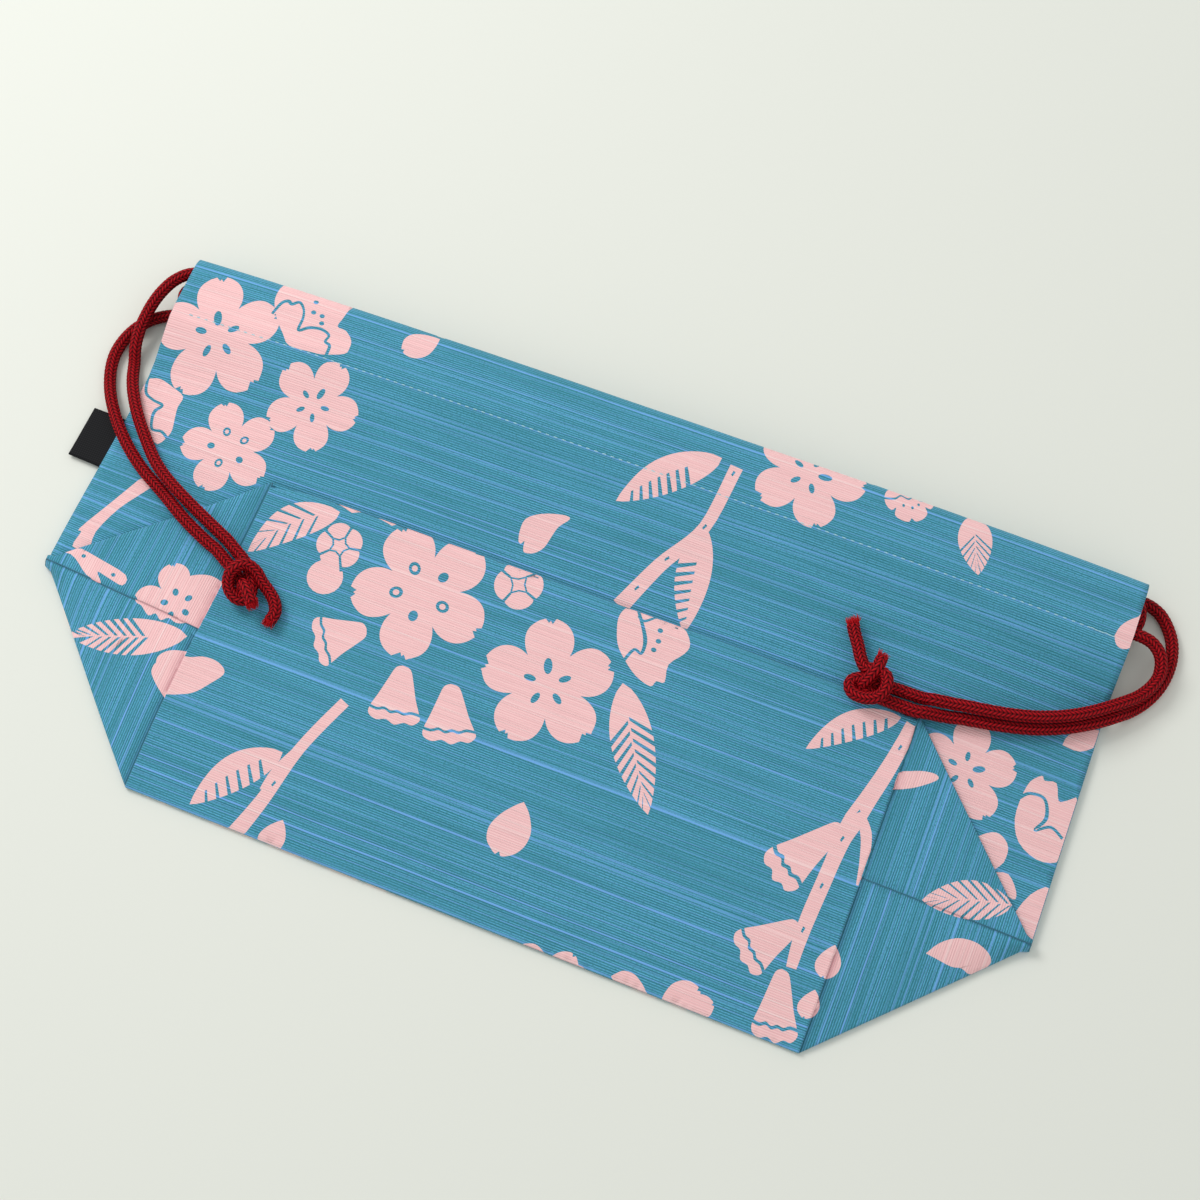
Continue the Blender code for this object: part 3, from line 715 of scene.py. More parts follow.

# %% [markdown]
# ## Knots and frayed ends
# Both ends of a cord leave the bag side by side and are tied in one overhand knot, so the
# cord stays a loop. A simulated knot is hard to steer to one picture, so each strand of it
# follows listed points. Past the knot the cut ends fray into short fibres.

# %% Frayed ends
fray_fibres, fray_radius = 150, 0.0015
tight_end, loose_end = 0.34, 0.70
fibre_short, fibre_long, fibre_extra = 0.0014, 0.0026, 0.0022
fibre_root, fibre_tip, fibre_sunk = 0.00020, 0.00007, 0.0008


def fray(bm, end, way, loose):
    """A small brush of loose fibres at a cut end, in a plait back's colour with its painted highlight."""
    skin = bm.loops.layers.uv.verify()
    for _ in range(fray_fibres):
        spread_way = Vector([chance.uniform(-1, 1) for _ in range(3)]) * loose
        heading = (way + spread_way).normalized()
        length = chance.uniform(fibre_short, fibre_long + fibre_extra * loose)
        off = Vector([chance.uniform(-1, 1) for _ in range(3)]) * fray_radius
        off -= way * off.dot(way)
        turned = Vector((0, 0, 1)).rotation_difference(heading).to_matrix().to_4x4()
        place = Matrix.Translation(end + off + heading * (length / 2 - fibre_sunk)) @ turned
        made = bmesh.ops.create_cone(
            bm, cap_ends=True, segments=4, radius1=fibre_root, radius2=fibre_tip, depth=length,
            matrix=place,
        )["verts"]
        # Each fibre's UV sits on a plait's back, so it takes the painted highlight there.
        for loop in [loop for vert in made for loop in vert.link_loops]:
            loop[skin].uv = (plait_pitch / 2, 0.5 / plait_columns)


print(fray_fibres, "fibres at each end, up to", (fibre_long + fibre_extra * loose_end) * 1000, "mm long")


# %% Tie the knots and string the cords


def tie_knot(name, knot):
    """Both ends of a cord in one overhand knot, with their frayed tails."""
    side, place, heading, strands = knot
    lift = knot_lift(*knot)
    bm = bmesh.new()
    for strand in strands:
        open_end = side > 0 and len(strand) > 10
        route = [knot_point(side, place, heading, local) + lift for local in strand]
        sweep_braid(bm, smooth_points(route, 0.0003), 28, plait_depth)
        way = (route[-1] - route[-2]).normalized()
        fray(bm, route[-1] + into_frame, way, loose_end if open_end else tight_end)
    return finish_piece(bm, name + "_tied", cord_finish, "cord", name)


def string_cord(name, side, strands, knot, front_first):
    """One drawcord: its two free strands, its run in the casings and its knot."""
    out_run = casing_run(side, upper_lane, front_first)
    home_run = casing_run(-side, lower_lane, not front_first)
    bend = turn_back(-side, front_first)
    starts = (out_run[0], home_run[-1])
    laid = [[], []]
    for index in ((1, 0) if front_first else (0, 1)):
        plan = [on_table(side, point) for point in strands[index]]
        laid[index] = lay_strand([starts[index]] + plan + knot_entry(knot, index), laid[1 - index])
    tied = tie_knot(name.replace("drawcord", "knot"), knot)
    bm = bmesh.new()
    sweep_braid(bm, smooth_points(out_run + bend + home_run, 0.0009), 12, 0.0)
    finish_piece(bm, name + "_in_casing", cord_finish, "cord", name)
    for index, where in enumerate(("front", "back") if front_first else ("back", "front")):
        points = smooth_points(laid[index], 0.0003)
        bm = bmesh.new()
        sweep_braid(bm, points, 32, plait_depth)
        strand = finish_piece(bm, f"{name}_{where}", cord_finish, "cord", name)


string_cord("left_drawcord", -1, (left_front_strand, left_back_strand), left_knot, True)
string_cord("right_drawcord", 1, (right_back_strand, right_front_strand), right_knot, False)

# %% [markdown]
# ## One section through the folded sheet
# A fold is drawn as a line seen from the side: hem, mouth, front panel, valley, the tuck back
# up, the fold, the bottom on top, the bottom fold, the back panel and the other hem. Separate
# panels would show gaps at the folds, so the whole sheet is one line. Where a layer begins
# and ends on it is remembered, because the print is cut into it later.

# %% Folds and hems


def spread(start, end, steps):
    """Evenly spaced values from start to end, without the end."""
    return [start + (end - start) * i / steps for i in range(steps)]


def turn(edge, way, low, high, reach, steps, low_reach=None):
    """Points of a fold from height low to height high, its tip at edge."""
    middle, half = (low + high) / 2, (high - low) / 2
    points = []
    for i in range(steps + 1):
        angle = math.pi * i / steps
        length = reach if low_reach is None or angle > math.pi / 2 else low_reach
        points.append((edge - way * length * (1 - math.sin(angle)), middle - half * math.cos(angle)))
    return points


def hem_line(hemmed):
    """Places along a hem, which draws back to the mouth where a side slit begins."""
    if hemmed:
        return spread(stitch_row - hem_allowance, bag_height - nose_length, 5)
    return spread(bag_height - 2 * cut_hem, bag_height - cut_hem, 5)


print("a hem has", len(hem_line(True)), "places, a fold of 8 steps", len(turn(0, 1, 0, 1, 1, 8)))

# %% Small rises and dips of the cloth
wave_rise, ripple_rise = 0.00016, 0.00007
stitch_pitch, thread_groove, pucker_rise, groove_lip = 0.0029, 0.00022, 0.00009, 0.00010
edge_rise, crease_drop, seam_drop, corner_drop = 0.00026, 0.00034, 0.00022, 0.0021
fold_groove = 0.00020


def soft_wave(x, y):
    """The slight rise and fall that ironed cloth keeps, none of it at the side seams."""
    slow = math.sin(math.tau * (x / 0.083 + y / 0.21)) * math.sin(math.tau * (y / 0.097 - x / 0.31) + 1.3)
    quick = math.sin(math.tau * (x / 0.037 - y / 0.16) + 0.7) * math.sin(math.tau * y / 0.055)
    return (wave_rise * slow + ripple_rise * quick) * pillow(x)


def stitch_pull(x, y):
    """How the thread draws the cloth down along the casing's seam."""
    off = y - stitch_row
    groove = -thread_groove * math.exp(-((off / 0.0011) ** 2))
    pucker = pucker_rise * math.sin(math.tau * x / stitch_pitch) * math.exp(-((off / 0.0026) ** 2))
    ridge = groove_lip * math.exp(-(((abs(off) - 0.0032) / 0.0016) ** 2))
    return groove + pucker + ridge


def crease_step(x, y):
    """The boxed bottom's rectangle stands over the triangles, and each triangle has its seam."""
    past = abs(x) - half_bottom
    if past < 0:
        return edge_rise * math.exp(-((past / 0.0022) ** 2))
    step = -crease_drop * math.exp(-((past / 0.0021) ** 2))
    at_seam = math.exp(-(((y - tip_height) / 0.0008) ** 2))
    return step - seam_drop * at_seam * ease(past, 0.0005, 0.003)


def beyond_fold(x, y):
    """How far y lies past the edge of the bottom where it is folded up over the front."""
    return y - (bottom_depth - past_bottom(x))


def corner_dip(x):
    """The rectangle's corners lie a little lower than the pointed tips of the triangles."""
    past = abs(x) - half_bottom
    return corner_drop * math.exp(-((past / 0.008) ** 2)) if past < 0 else 0.0


def shade_beside(panel, x, y):
    """How far the cloth lies in the dark of a crease or a seam, from 0 to 1."""
    past = abs(x) - half_bottom
    if panel == "front":
        off = beyond_fold(x, y)
        return math.exp(-((off / 0.0007) ** 2)) if off > 0.0002 else 0.0
    if panel == "bottom":
        crease = math.exp(-(((past - 0.0003) / (0.0012 if past > 0 else 0.0003)) ** 2))
        seam = math.exp(-(((y - tip_height) / 0.0004) ** 2)) * ease(past, 0.0, 0.002)
        return max(crease, seam)
    return 0.0


def front_soft(x, y):
    """The front panel as it shows."""
    off = beyond_fold(x, y)
    groove = fold_groove * math.exp(-(((off - 0.0006) / 0.0008) ** 2)) if off > 0 else 0.0
    return front_height(x, y) + soft_wave(x, y) + stitch_pull(x, y) - groove


def bottom_soft(x, y):
    """The folded-up bottom as it shows."""
    return bottom_height(x, y) + soft_wave(x, y) + crease_step(x, y)


print("the bottom's middle lies", round(bottom_soft(0, tip_height) * 1000, 1), "mm high")


# %% One section, fold by fold


def section(x):
    """The sheet's middle line at x, fold by fold, from the front hem round to the back hem."""
    hemmed = abs(x) < half_width - hem_set_back
    inside = nose_length if hemmed else cut_hem
    low_y = past_bottom(x)
    tuck = fold_spacing / 2
    folds = {"front hem": [(y, front_hem(x)) for y in hem_line(hemmed)]}
    casing = front_soft(x, bag_height - nose_length)
    folds["mouth"] = turn(bag_height, 1, front_hem(x), casing, nose_length, 12, inside)
    stops = spread(bag_height - 1.4 * nose_length, stitch_row + 0.005, 5)
    stops += spread(stitch_row + 0.005, stitch_row - 0.005, 14)
    edge = bottom_depth - low_y
    stops += spread(stitch_row - 0.005, edge + 0.0022, 15)
    stops += [edge + 0.0022, edge + 0.0012, edge + 0.0005] + spread(edge, tip_height, 12)
    folds["front"] = [(y, front_soft(x, y)) for y in stops]

    lower = front_soft(x, tip_height)
    folds["valley"] = turn(tip_height - tuck, -1, lower, lower + fold_spacing, tuck, 4)
    inner = bottom_depth - low_y - tuck - corner_dip(x)
    climb = spread(tip_height, inner, 6)[1:]
    folds["tuck"] = [(y, front_soft(x, y) + fold_spacing) for y in climb]
    lower = front_soft(x, inner) + fold_spacing
    folds["top fold"] = turn(inner + tuck, 1, lower, bottom_soft(x, inner), tuck, 8)

    edge = bottom_fold / 2
    outer = low_y + edge
    seam = 0.0005
    down = spread(inner, tip_height + seam, 18)[1:] + [tip_height + seam, tip_height, tip_height - seam]
    down += [outer + (tip_height - seam - outer) * (1 - i / 22) for i in range(1, 22)]
    folds["bottom"] = [(y, bottom_soft(x, y)) for y in down]
    low_turn = turn(low_y, -1, cloth / 2, bottom_soft(x, outer), edge, 8)
    folds["bottom fold"] = list(reversed(low_turn))

    stops = spread(outer, stitch_row - 2 * bump_reach, 24)[1:]
    stops += [stitch_row + off for off in (-bump_reach, -bump_flat, bump_flat, bump_reach)]
    stops += [stitch_row + 4 * bump_reach]
    folds["back"] = [(y, back_height(y)) for y in stops]
    nose = turn(bag_height, 1, cloth / 2, back_hem, nose_length, 12)
    if not hemmed:
        nose = nose[:7] + turn(bag_height, 1, back_hem, cloth / 2, nose_length, 12, inside)[5::-1]
    folds["back mouth"] = nose
    folds["back hem"] = [(y, back_hem) for y in reversed(hem_line(hemmed))]
    return folds


def offset_line(line, distance):
    """Moves a line of (y, z) points sideways by distance, to the left of its direction."""
    moved = []
    for i, (y, z) in enumerate(line):
        before, after = line[max(i - 1, 0)], line[min(i + 1, len(line) - 1)]
        along = Vector((after[0] - before[0], after[1] - before[1])).normalized()
        moved.append((y - along.y * distance, z + along.x * distance))
    return moved


def first_rows():
    """Row number at which each fold of the section starts."""
    starts, row = {}, 0
    for name, points in section(0).items():
        starts[name] = row
        row += len(points)
    starts["end"] = row
    return starts


row_of = first_rows()
seam_rows = [row_of["bottom"] + row for row in (17, 18, 19)]
fold_rows = [row_of["front"] + row for row in (35, 36, 37)]
print("rows:", row_of)

# %% [markdown]
# ## The sheet, carried from one side seam to the other
# The section changes along the bag: at the ends the bottom narrows to a triangle's tip. So
# the closed outline of one section is made once, and is carried from station to station by
# extruding its edges and putting the new corners on the next section.

# %% Stations and the grid of places
half_stations = spread(0, half_bottom - 0.003, 34) + [half_bottom - 0.003]
half_stations += [half_bottom + off for off in (-0.0016, -0.0007, -0.0001, 0.0002, 0.0006, 0.0015)]
hem_stop = half_width - hem_set_back
half_stations += spread(half_bottom + 0.0035, hem_stop - cut_hem / 2, 12)
half_stations += [hem_stop - cut_hem / 2, hem_stop + cut_hem / 2]
half_stations += spread(hem_stop + cut_hem / 2, half_width, 4)[1:] + [half_width]
across_bag = [-x for x in reversed(half_stations[1:])] + half_stations

skin_out, skin_in, outer_y = [], [], []
for x in across_bag:
    line = [point for points in section(x).values() for point in points]
    inner_line, outer_line = offset_line(line, cloth / 2), offset_line(line, -cloth / 2)
    skin_in.append([Vector((*as_laid(x, y), z)) + into_frame for y, z in inner_line])
    skin_out.append([Vector((*as_laid(x, y), z)) + into_frame for y, z in outer_line])
    outer_y.append([y for y, _ in outer_line])
row_count = len(skin_out[0])
print(len(across_bag), "stations of", row_count, "rows")

# %% [markdown]
# ## The print
# The pink blossom print has clean edges, as a stencil dyer's paste leaves them. A picture file
# would blur when seen close, so each motif is an outline that is cut into the mesh of its
# panel. Blossoms, buds, leaves and petals are drawn by a function for each kind, from the
# place and size of each one, and a few odd shapes have an outline of their own.

# %% Outline helpers


def placed(points, centre, way, size):
    """Turns a shape drawn along +x to face way, and moves it to its centre."""
    centre, way = Vector(centre), Vector(way).normalized()
    side = Vector((-way.y, way.x))
    return [centre + way * (p[0] * size) + side * (p[1] * size) for p in points]


def disc(centre, radius, steps=14, squash=1.0, way=(1, 0)):
    """A round or oval spot."""
    turns = [math.tau * i / steps for i in range(steps)]
    return placed([(math.cos(a), squash * math.sin(a)) for a in turns], centre, way, radius)


# %% Blossom seen from the front
petal_edge = [
    (0.42, -0.306), (0.54, -0.352), (0.67, -0.362), (0.79, -0.332), (0.89, -0.262),
    (0.955, -0.170), (0.990, -0.085),
]
petal_lip = [(0.962, 0.158), (0.935, 0.205), (0.865, 0.290), (0.77, 0.345)]
petal_lip += [(0.66, 0.362), (0.54, 0.348), (0.42, 0.306)]


def blossom(heart, centre, tip):
    """Five notched petals, with rings, slots or dots left bare around the heart."""
    centre, way = Vector(centre), Vector(tip) - Vector(centre)
    size = way.length
    outline, bare, printed = [], [], []
    for i in range(5):
        turned = Matrix.Rotation(math.tau * i / 5, 2) @ way
        notch = 0.03 if i % 2 else -0.02
        petal = smooth_line(petal_edge, 3) + [(0.908, notch - 0.01), (0.958, notch + 0.02)]
        petal += [(0.925, notch + 0.045), (0.990, notch + 0.095)]
        outline += placed(petal + smooth_line(petal_lip, 3)[:-1], centre, turned, size)
        turned = turned.normalized()
        if heart == "rings":
            at = centre + turned * size * 0.36
            bare.append(disc(at, size * (0.080 if i % 2 else 0.098), 14, 0.85, turned))
            if i % 2 == 0:
                printed.append(disc(at, size * 0.048, 8, 0.9, turned))
        elif heart == "slots":
            at = centre + turned * size * 0.27
            bare.append(disc(at, size * (0.095 if i else 0.125), 12, 0.52, turned))
        else:
            bare.append(disc(centre + turned * size * 0.29, size * 0.092, 10, 0.78, turned))
    return [(True, outline)] + [(False, b) for b in bare] + [(True, p) for p in printed]


print("outlines of one blossom:", len(blossom("rings", (0, 0), (10, 0))))


# %% Blossom seen from the side


def side_blossom(base, tip, width=1.0):
    """A half-open flower: a fan of petals, one in front parted by a bare line."""
    base, way = Vector(base), Vector(tip) - Vector(base)
    size = way.length
    fan = [
        (0.0, -0.30), (0.10, -0.44), (0.30, -0.52), (0.52, -0.50), (0.66, -0.40), (0.60, -0.30),
        (0.80, -0.34), (0.95, -0.20), (0.99, -0.06), (0.90, 0.0), (0.99, 0.08), (0.93, 0.24),
        (0.78, 0.34), (0.60, 0.31), (0.66, 0.42), (0.50, 0.52), (0.28, 0.52), (0.08, 0.42),
        (0.0, 0.28), (-0.08, 0.12), (-0.10, -0.10),
    ]
    shape = [(p[0], p[1] * width) for p in fan]
    closed = smooth_line(shape + shape[:1], 3)[:-1]
    parted = [
        (0.30, -0.54), (0.32, -0.30), (0.22, -0.16), (0.33, -0.02), (0.23, 0.12), (0.36, 0.26),
        (0.32, 0.54), (0.38, 0.54), (0.42, 0.25), (0.29, 0.12), (0.39, -0.02), (0.28, -0.16),
        (0.38, -0.30), (0.36, -0.54),
    ]
    parted = [(p[0], p[1] * width) for p in parted]
    parted = smooth_line(parted[:7], 4) + smooth_line(parted[7:], 4)
    made = [(True, placed(closed, base, way, size)), (False, placed(parted, base, way, size))]
    for along, off in ((0.55, -0.14), (0.62, 0.04), (0.53, 0.18)):
        at = placed([(along, off * width)], base, way, size)[0]
        made.append((False, disc(at, size * 0.045, 8, 0.8, way)))
    return made


print("outlines of one blossom from the side:", len(side_blossom((0, 0), (10, 0))))


# %% Buds


def bell_bud(apex, base, width=1.0):
    """A bud like a bell: rounded on top, with a wavy bare line above its lip."""
    apex, way = Vector(apex), Vector(base) - Vector(apex)
    size = way.length
    bell = [
        (0.0, -0.04), (0.05, -0.16), (0.25, -0.25), (0.55, -0.37), (0.80, -0.48), (0.93, -0.46),
        (1.0, -0.30), (0.97, -0.12), (1.04, 0.05), (0.98, 0.22), (1.0, 0.38), (0.90, 0.50),
        (0.78, 0.46), (0.55, 0.34), (0.25, 0.22), (0.05, 0.12),
    ]
    lip = [
        (0.74, -0.52), (0.79, -0.34), (0.76, -0.20), (0.81, -0.08), (0.78, 0.05), (0.81, 0.18),
        (0.77, 0.32), (0.80, 0.54), (0.85, 0.54), (0.82, 0.33), (0.86, 0.18), (0.83, 0.06),
        (0.86, -0.07), (0.81, -0.19), (0.84, -0.34), (0.79, -0.54),
    ]
    bell, lip = [[(x, y * width) for x, y in line] for line in (bell, lip)]
    lip = smooth_line(lip[:8], 3) + smooth_line(lip[8:], 3)
    closed = smooth_line(bell + bell[:1], 3)[:-1]
    return [(True, placed(closed, apex, way, size)), (False, placed(lip, apex, way, size))]


def round_bud(centre, rim, sides):
    """A closed bud from the front: sepals round a small printed middle."""
    centre, way = Vector(centre), Vector(rim) - Vector(centre)
    size = way.length
    lobes = []
    for i in range(12 * sides):
        angle = math.tau * i / (12 * sides)
        reach = 0.84 + 0.16 * abs(math.cos(angle * sides / 2)) ** 0.6
        lobes.append((reach * math.cos(angle), 0.97 * reach * math.sin(angle)))
    made = [(True, placed(lobes, centre, way, size))]
    turns = [math.tau * (i + 0.5) / sides for i in range(sides)]
    rim_line = [(math.cos(angle), math.sin(angle)) for angle in turns]
    inner = []
    for i, (px, py) in enumerate(rim_line):
        qx, qy = rim_line[(i + 1) % sides]
        inner += [(px * 0.50, py * 0.50), ((px + qx) * 0.19, (py + qy) * 0.19)]
        spoke = [
            (px * out - py * aside, py * out + px * aside)
            for out, aside in ((0.46, 0.05), (1.1, 0.09), (1.1, -0.03), (0.46, -0.05))
        ]
        made.append((False, placed(spoke, centre, way, size)))
    made.append((False, placed(inner, centre, way, size)))
    made.append((True, placed([(x * 0.74, y * 0.74) for x, y in inner], centre, way, size)))
    return made


print("outlines of a bell bud:", len(bell_bud((0, 0), (10, 0))))
print("outlines of a round bud:", len(round_bud((0, 0), (10, 0), 5)))


# %% Petals and leaves


def petal(stem, tip, width=0.36):
    """One fallen petal with a small notch."""
    stem, way = Vector(stem), Vector(tip) - Vector(stem)
    drop = [
        (0, 0), (0.15, 0.5), (0.40, 0.95), (0.65, 1.0), (0.85, 0.75), (0.97, 0.35), (0.99, 0.15),
    ]
    back = [
        (1.0, -0.10), (0.96, -0.35), (0.84, -0.78), (0.62, -0.95), (0.35, -0.72), (0.12, -0.3), (0, 0),
    ]
    drop = [(x, y * width) for x, y in drop]
    back = [(x, y * width) for x, y in back]
    line = smooth_line(drop, 4) + [Vector((0.93, 0.02 * width))] + smooth_line(back, 4)[:-1]
    return [(True, placed(line, stem, way, way.length))]


def leaf(stem, tip, side_a, side_b, solid=0.34, slits=6, comb=0):
    """A leaf that is solid near its stem and slit like a feather, or on one side like a comb."""
    stem, tip = Vector(stem), Vector(tip)
    way = (tip - stem).normalized()
    across = Vector((-way.y, way.x))
    size = (tip - stem).length
    reach = [(Vector(s) - stem).dot(across) / size for s in (side_a, side_b)]
    upper, lower = max(reach), min(reach)
    bow, half = (upper + lower) / 2, (upper - lower) / 2

    def edge(t, sign):
        """The leaf's edge at a share of its length."""
        middle = bow * math.sin(math.pi * t)
        return (t, middle + sign * half * math.sin(math.pi * t ** 0.85) ** 0.8)

    steps = 18
    outline = [edge(i / steps, 1) for i in range(steps + 1)]
    outline += [edge(i / steps, -1) for i in range(steps - 1, 0, -1)]
    made = [(True, placed(outline, stem, way, size))]
    for i in range(slits):
        t = solid + (0.90 - solid) * i / slits
        for sign in (comb,) if comb else (1, -1):
            start = t + (0.01 if sign > 0 else 0.035)
            end = min(start + half * (0.3 if comb else 1.0), 0.985)
            middle = bow * math.sin(math.pi * start)
            y0 = middle + sign * half * (-0.05 if comb else 0.04)
            y1 = edge(end, sign)[1] + sign * 0.03
            thick = 0.036 * (1 - 0.25 * i / slits)
            slit = [(start, y0), (end, y1), (end + thick * 1.3, y1), (start + thick * 0.8, y0)]
            made.append((False, placed(slit, stem, way, size)))
    return made


print("outlines of a leaf:", len(leaf((0, 0), (10, 0), (5, 3), (5, -3))))


# %% Twigs, other shapes and bare lines


def shape_of(points, kind=True):
    """A shape of its own, with a smooth edge through its points."""
    return [(kind, smooth_line(list(points) + [points[0]], 3)[:-1])]


def only(patch, shapes):
    """Keeps shapes to one part of the bottom, where a crease or a seam cuts them off."""
    return [(kind, shape, patch) for kind, shape in shapes]


def twig(points, widths, slots=()):
    """A twig that swells and tapers, with a few bare nicks."""
    line = smooth_line(points, 6)
    count = len(line) - 1
    left, right = [], []
    for i, at in enumerate(line):
        along = (line[min(i + 1, count)] - line[max(i - 1, 0)]).normalized()
        share = i / count * (len(widths) - 1)
        low = min(int(share), len(widths) - 2)
        width = widths[low] + (widths[low + 1] - widths[low]) * (share - low)
        side = Vector((-along.y, along.x)) * width / 2
        left.append(at + side)
        right.append(at - side)
    made = [(True, left + right[::-1])]
    for share in slots:
        at = int(share * count)
        along = line[min(at + 1, count)] - line[max(at - 1, 0)]
        nick = [(-0.9, -0.35), (0.7, -0.5), (1.0, 0.1), (-0.6, 0.4)]
        made.append((False, placed(nick, line[at], along, 1.1)))
    return made


def bare_line(points, *widths):
    """A line left bare in a printed shape."""
    return [(False, shape) for _, shape in twig(points, widths)]


def bare_dots(radius, *places):
    """Small spots left bare."""
    return [(False, disc(place, radius, 9, 0.85)) for place in places]


print("outlines of a twig with one nick:", len(twig([(0, 0), (10, 0)], [3, 2], (0.5,))))

# %% [markdown]
# ## Where each motif lies
# Places are in millimetres on the flat bag, from the middle of its bottom fold. A shape that
# comes later lies over the ones before it, and a bare shape shows the blue cloth again. The
# back of the bag gets the same motifs mirrored, since a print is the same all over the cloth.

# %% Motifs on the front panel, the bottom and the back
on_front = []
for heart, centre, tip in (
    ("slots", (-151.4, 152.4), (-159.1, 173.1)), ("slots", (-110.6, 140.9), (-105.9, 156.5)),
    ("rings", (-132.1, 117.6), (-140.0, 132.3)), ("slots", (54.0, 176.0), (73.0, 178.6)),
    ("slots", (133.5, 102.2), (148.8, 109.1)),
):
    on_front += blossom(heart, centre, tip)
on_front += shape_of([
    (-138.0, 180.5), (-125.0, 180.5), (-113.5, 180.5), (-112.9, 173.9), (-113.6, 169.2),
    (-110.2, 168.6), (-107.1, 166.0), (-106.4, 163.2), (-107.1, 160.4), (-113.3, 157.8),
    (-117.2, 157.2), (-126.0, 156.8), (-129.8, 160.0), (-134.3, 164.7), (-137.3, 169.3),
    (-138.3, 173.3),
])
on_front += bare_line([
    (-136.6, 165.8), (-135.3, 170.6), (-133.4, 172.2), (-131.7, 171.6), (-129.5, 173.1),
    (-127.1, 171.1), (-125.9, 167.8), (-125.5, 163.2), (-122.4, 165.3), (-118.3, 166.2),
    (-114.9, 165.0), (-115.1, 162.4), (-113.0, 161.3), (-112.7, 157.2),
], 1.0, 1.3, 0.8, 1.2, 0.9, 1.2)
on_front += bare_dots(0.95, (-124.3, 175.2), (-123.4, 171.2), (-120.1, 170.9), (-119.1, 168.3))
on_front += side_blossom((85.4, 184.3), (90.8, 172.3), 1.2)
on_front += shape_of([
    (153.0, 100.9), (154.1, 106.5), (157.1, 109.8), (158.4, 108.6), (162.2, 109.3), (164.5, 104.1),
    (167.0, 105.2), (170.4, 106.6), (170.6, 90.3), (169.8, 85.0), (163.5, 83.4), (156.6, 86.6),
    (153.2, 93.3),
])
on_front += shape_of([
    (-169.2, 132.8), (-165.6, 133.6), (-160.0, 132.0), (-155.0, 129.9), (-155.1, 125.6), (-154.1, 121.1),
    (-153.2, 116.0), (-155.7, 110.9), (-159.7, 113.2), (-165.3, 116.2), (-171.0, 123.8), (-171.4, 129.6),
])
on_front += bare_line([
    (-170.3, 133.0), (-168.3, 127.5), (-164.7, 125.6), (-160.6, 124.7), (-162.0, 122.1), (-161.8, 119.2),
    (-160.0, 115.5), (-156.5, 115.6), (-153.6, 114.1),
], 1.2, 0.9, 1.3, 0.9, 1.1)
on_front += leaf((25.0, 170.8), (-2.5, 144.7), (5.9, 163.2), (18.6, 157.8), 0.3, 7, 1)
on_front += leaf((28.1, 146.7), (34.1, 111.7), (34.8, 137.6), (25.5, 123.5), 0.3, 7, -1)
on_front += leaf((108.9, 183.5), (116.6, 162.8), (104.3, 178.5), (116.0, 179.5))
on_front += petal((-79.3, 177.5), (-89.5, 168.7))
on_front += shape_of([
    (-27.7, 121.1), (-28.6, 124.4), (-28.3, 129.0), (-23.9, 132.4), (-17.4, 134.4),
    (-14.5, 134.0), (-17.1, 130.2), (-18.1, 126.2), (-19.0, 122.1), (-21.4, 119.2),
    (-24.4, 118.3), (-25.4, 119.6), (-25.9, 121.9), (-26.7, 120.6),
])
on_front += shape_of([
    (142.8, 82.5), (147.8, 86.4), (151.2, 86.4), (154.1, 83.6), (154.2, 78.6), (152.1, 74.7),
    (156.7, 75.6), (160.7, 71.2), (160.2, 68.5), (151.1, 72.8),
])
on_front += shape_of([(161.8, 63.2), (165.1, 72.0), (170.3, 76.2), (170.3, 63.9), (168.9, 56.0)])
on_front += shape_of([
    (160.2, 122.0), (161.0, 125.7), (165.5, 129.6), (171.0, 131.5), (171.0, 126.8), (166.2, 122.2),
])
on_front += shape_of([
    (164.1, 160.2), (165.0, 164.1), (167.9, 168.0), (172.6, 170.9), (173.0, 163.2), (171.4, 159.3),
    (168.0, 157.2), (165.5, 157.8),
])
on_front += twig(
    [(30.7, 169.5), (28.1, 146.7), (18.8, 129.9), (11.5, 112.6)], [4.4, 4.0, 4.8, 5.8],
    (0.1, 0.35, 0.62, 0.85),
)
on_front += bare_line([
    (152.4, 100.2), (155.3, 102.9), (160.2, 102.9), (162.5, 97.2), (160.2, 92.1), (164.7, 95.0),
    (169.3, 92.9),
], 1.3, 1.0, 1.0, 1.3, 0.8, 1.0, 1.0)
on_front += shape_of([
    (-156.0, 96.8), (-161.3, 85.8), (-166.9, 74.1), (-165.8, 73.1), (-166.2, 67.4), (-160.7, 68.3),
    (-161.2, 74.8), (-157.6, 85.1), (-151.9, 94.0), (-149.9, 98.0), (-153.0, 99.5),
])

on_bottom = []
on_bottom += blossom("rings", (-50.3, 93.1), (-72.3, 84.7))
on_bottom += blossom("slots", (-0.6, 79.1), (-7.6, 100.0))
on_bottom += only("upper", shape_of([
    (-125.5, 68.6), (-123.7, 71.1), (-120.7, 72.7), (-117.4, 73.5), (-113.8, 73.0),
    (-110.8, 71.1), (-110.8, 54.0), (-118.8, 54.7), (-123.3, 59.4),
]))
on_bottom += only("upper", blossom("dots", (-123.7, 60.6), (-131.2, 73.0)))
on_bottom += only("lower", shape_of([
    (-138.4, 58.5), (-136.4, 56.4), (-134.4, 56.0), (-130.8, 53.7), (-128.8, 55.2),
    (-126.3, 53.6), (-124.2, 55.3), (-121.0, 54.6), (-118.0, 56.0), (-118.0, 58.5),
]))
on_bottom += shape_of([
    (13.8, 111.8), (20.0, 113.9), (27.4, 114.0), (33.4, 112.7), (37.5, 108.3), (37.1, 104.5),
    (33.5, 99.2), (34.4, 93.3), (31.8, 92.7), (30.6, 90.4), (25.1, 91.9), (19.7, 95.7),
    (15.6, 99.9), (13.1, 106.2), (12.9, 109.5),
])
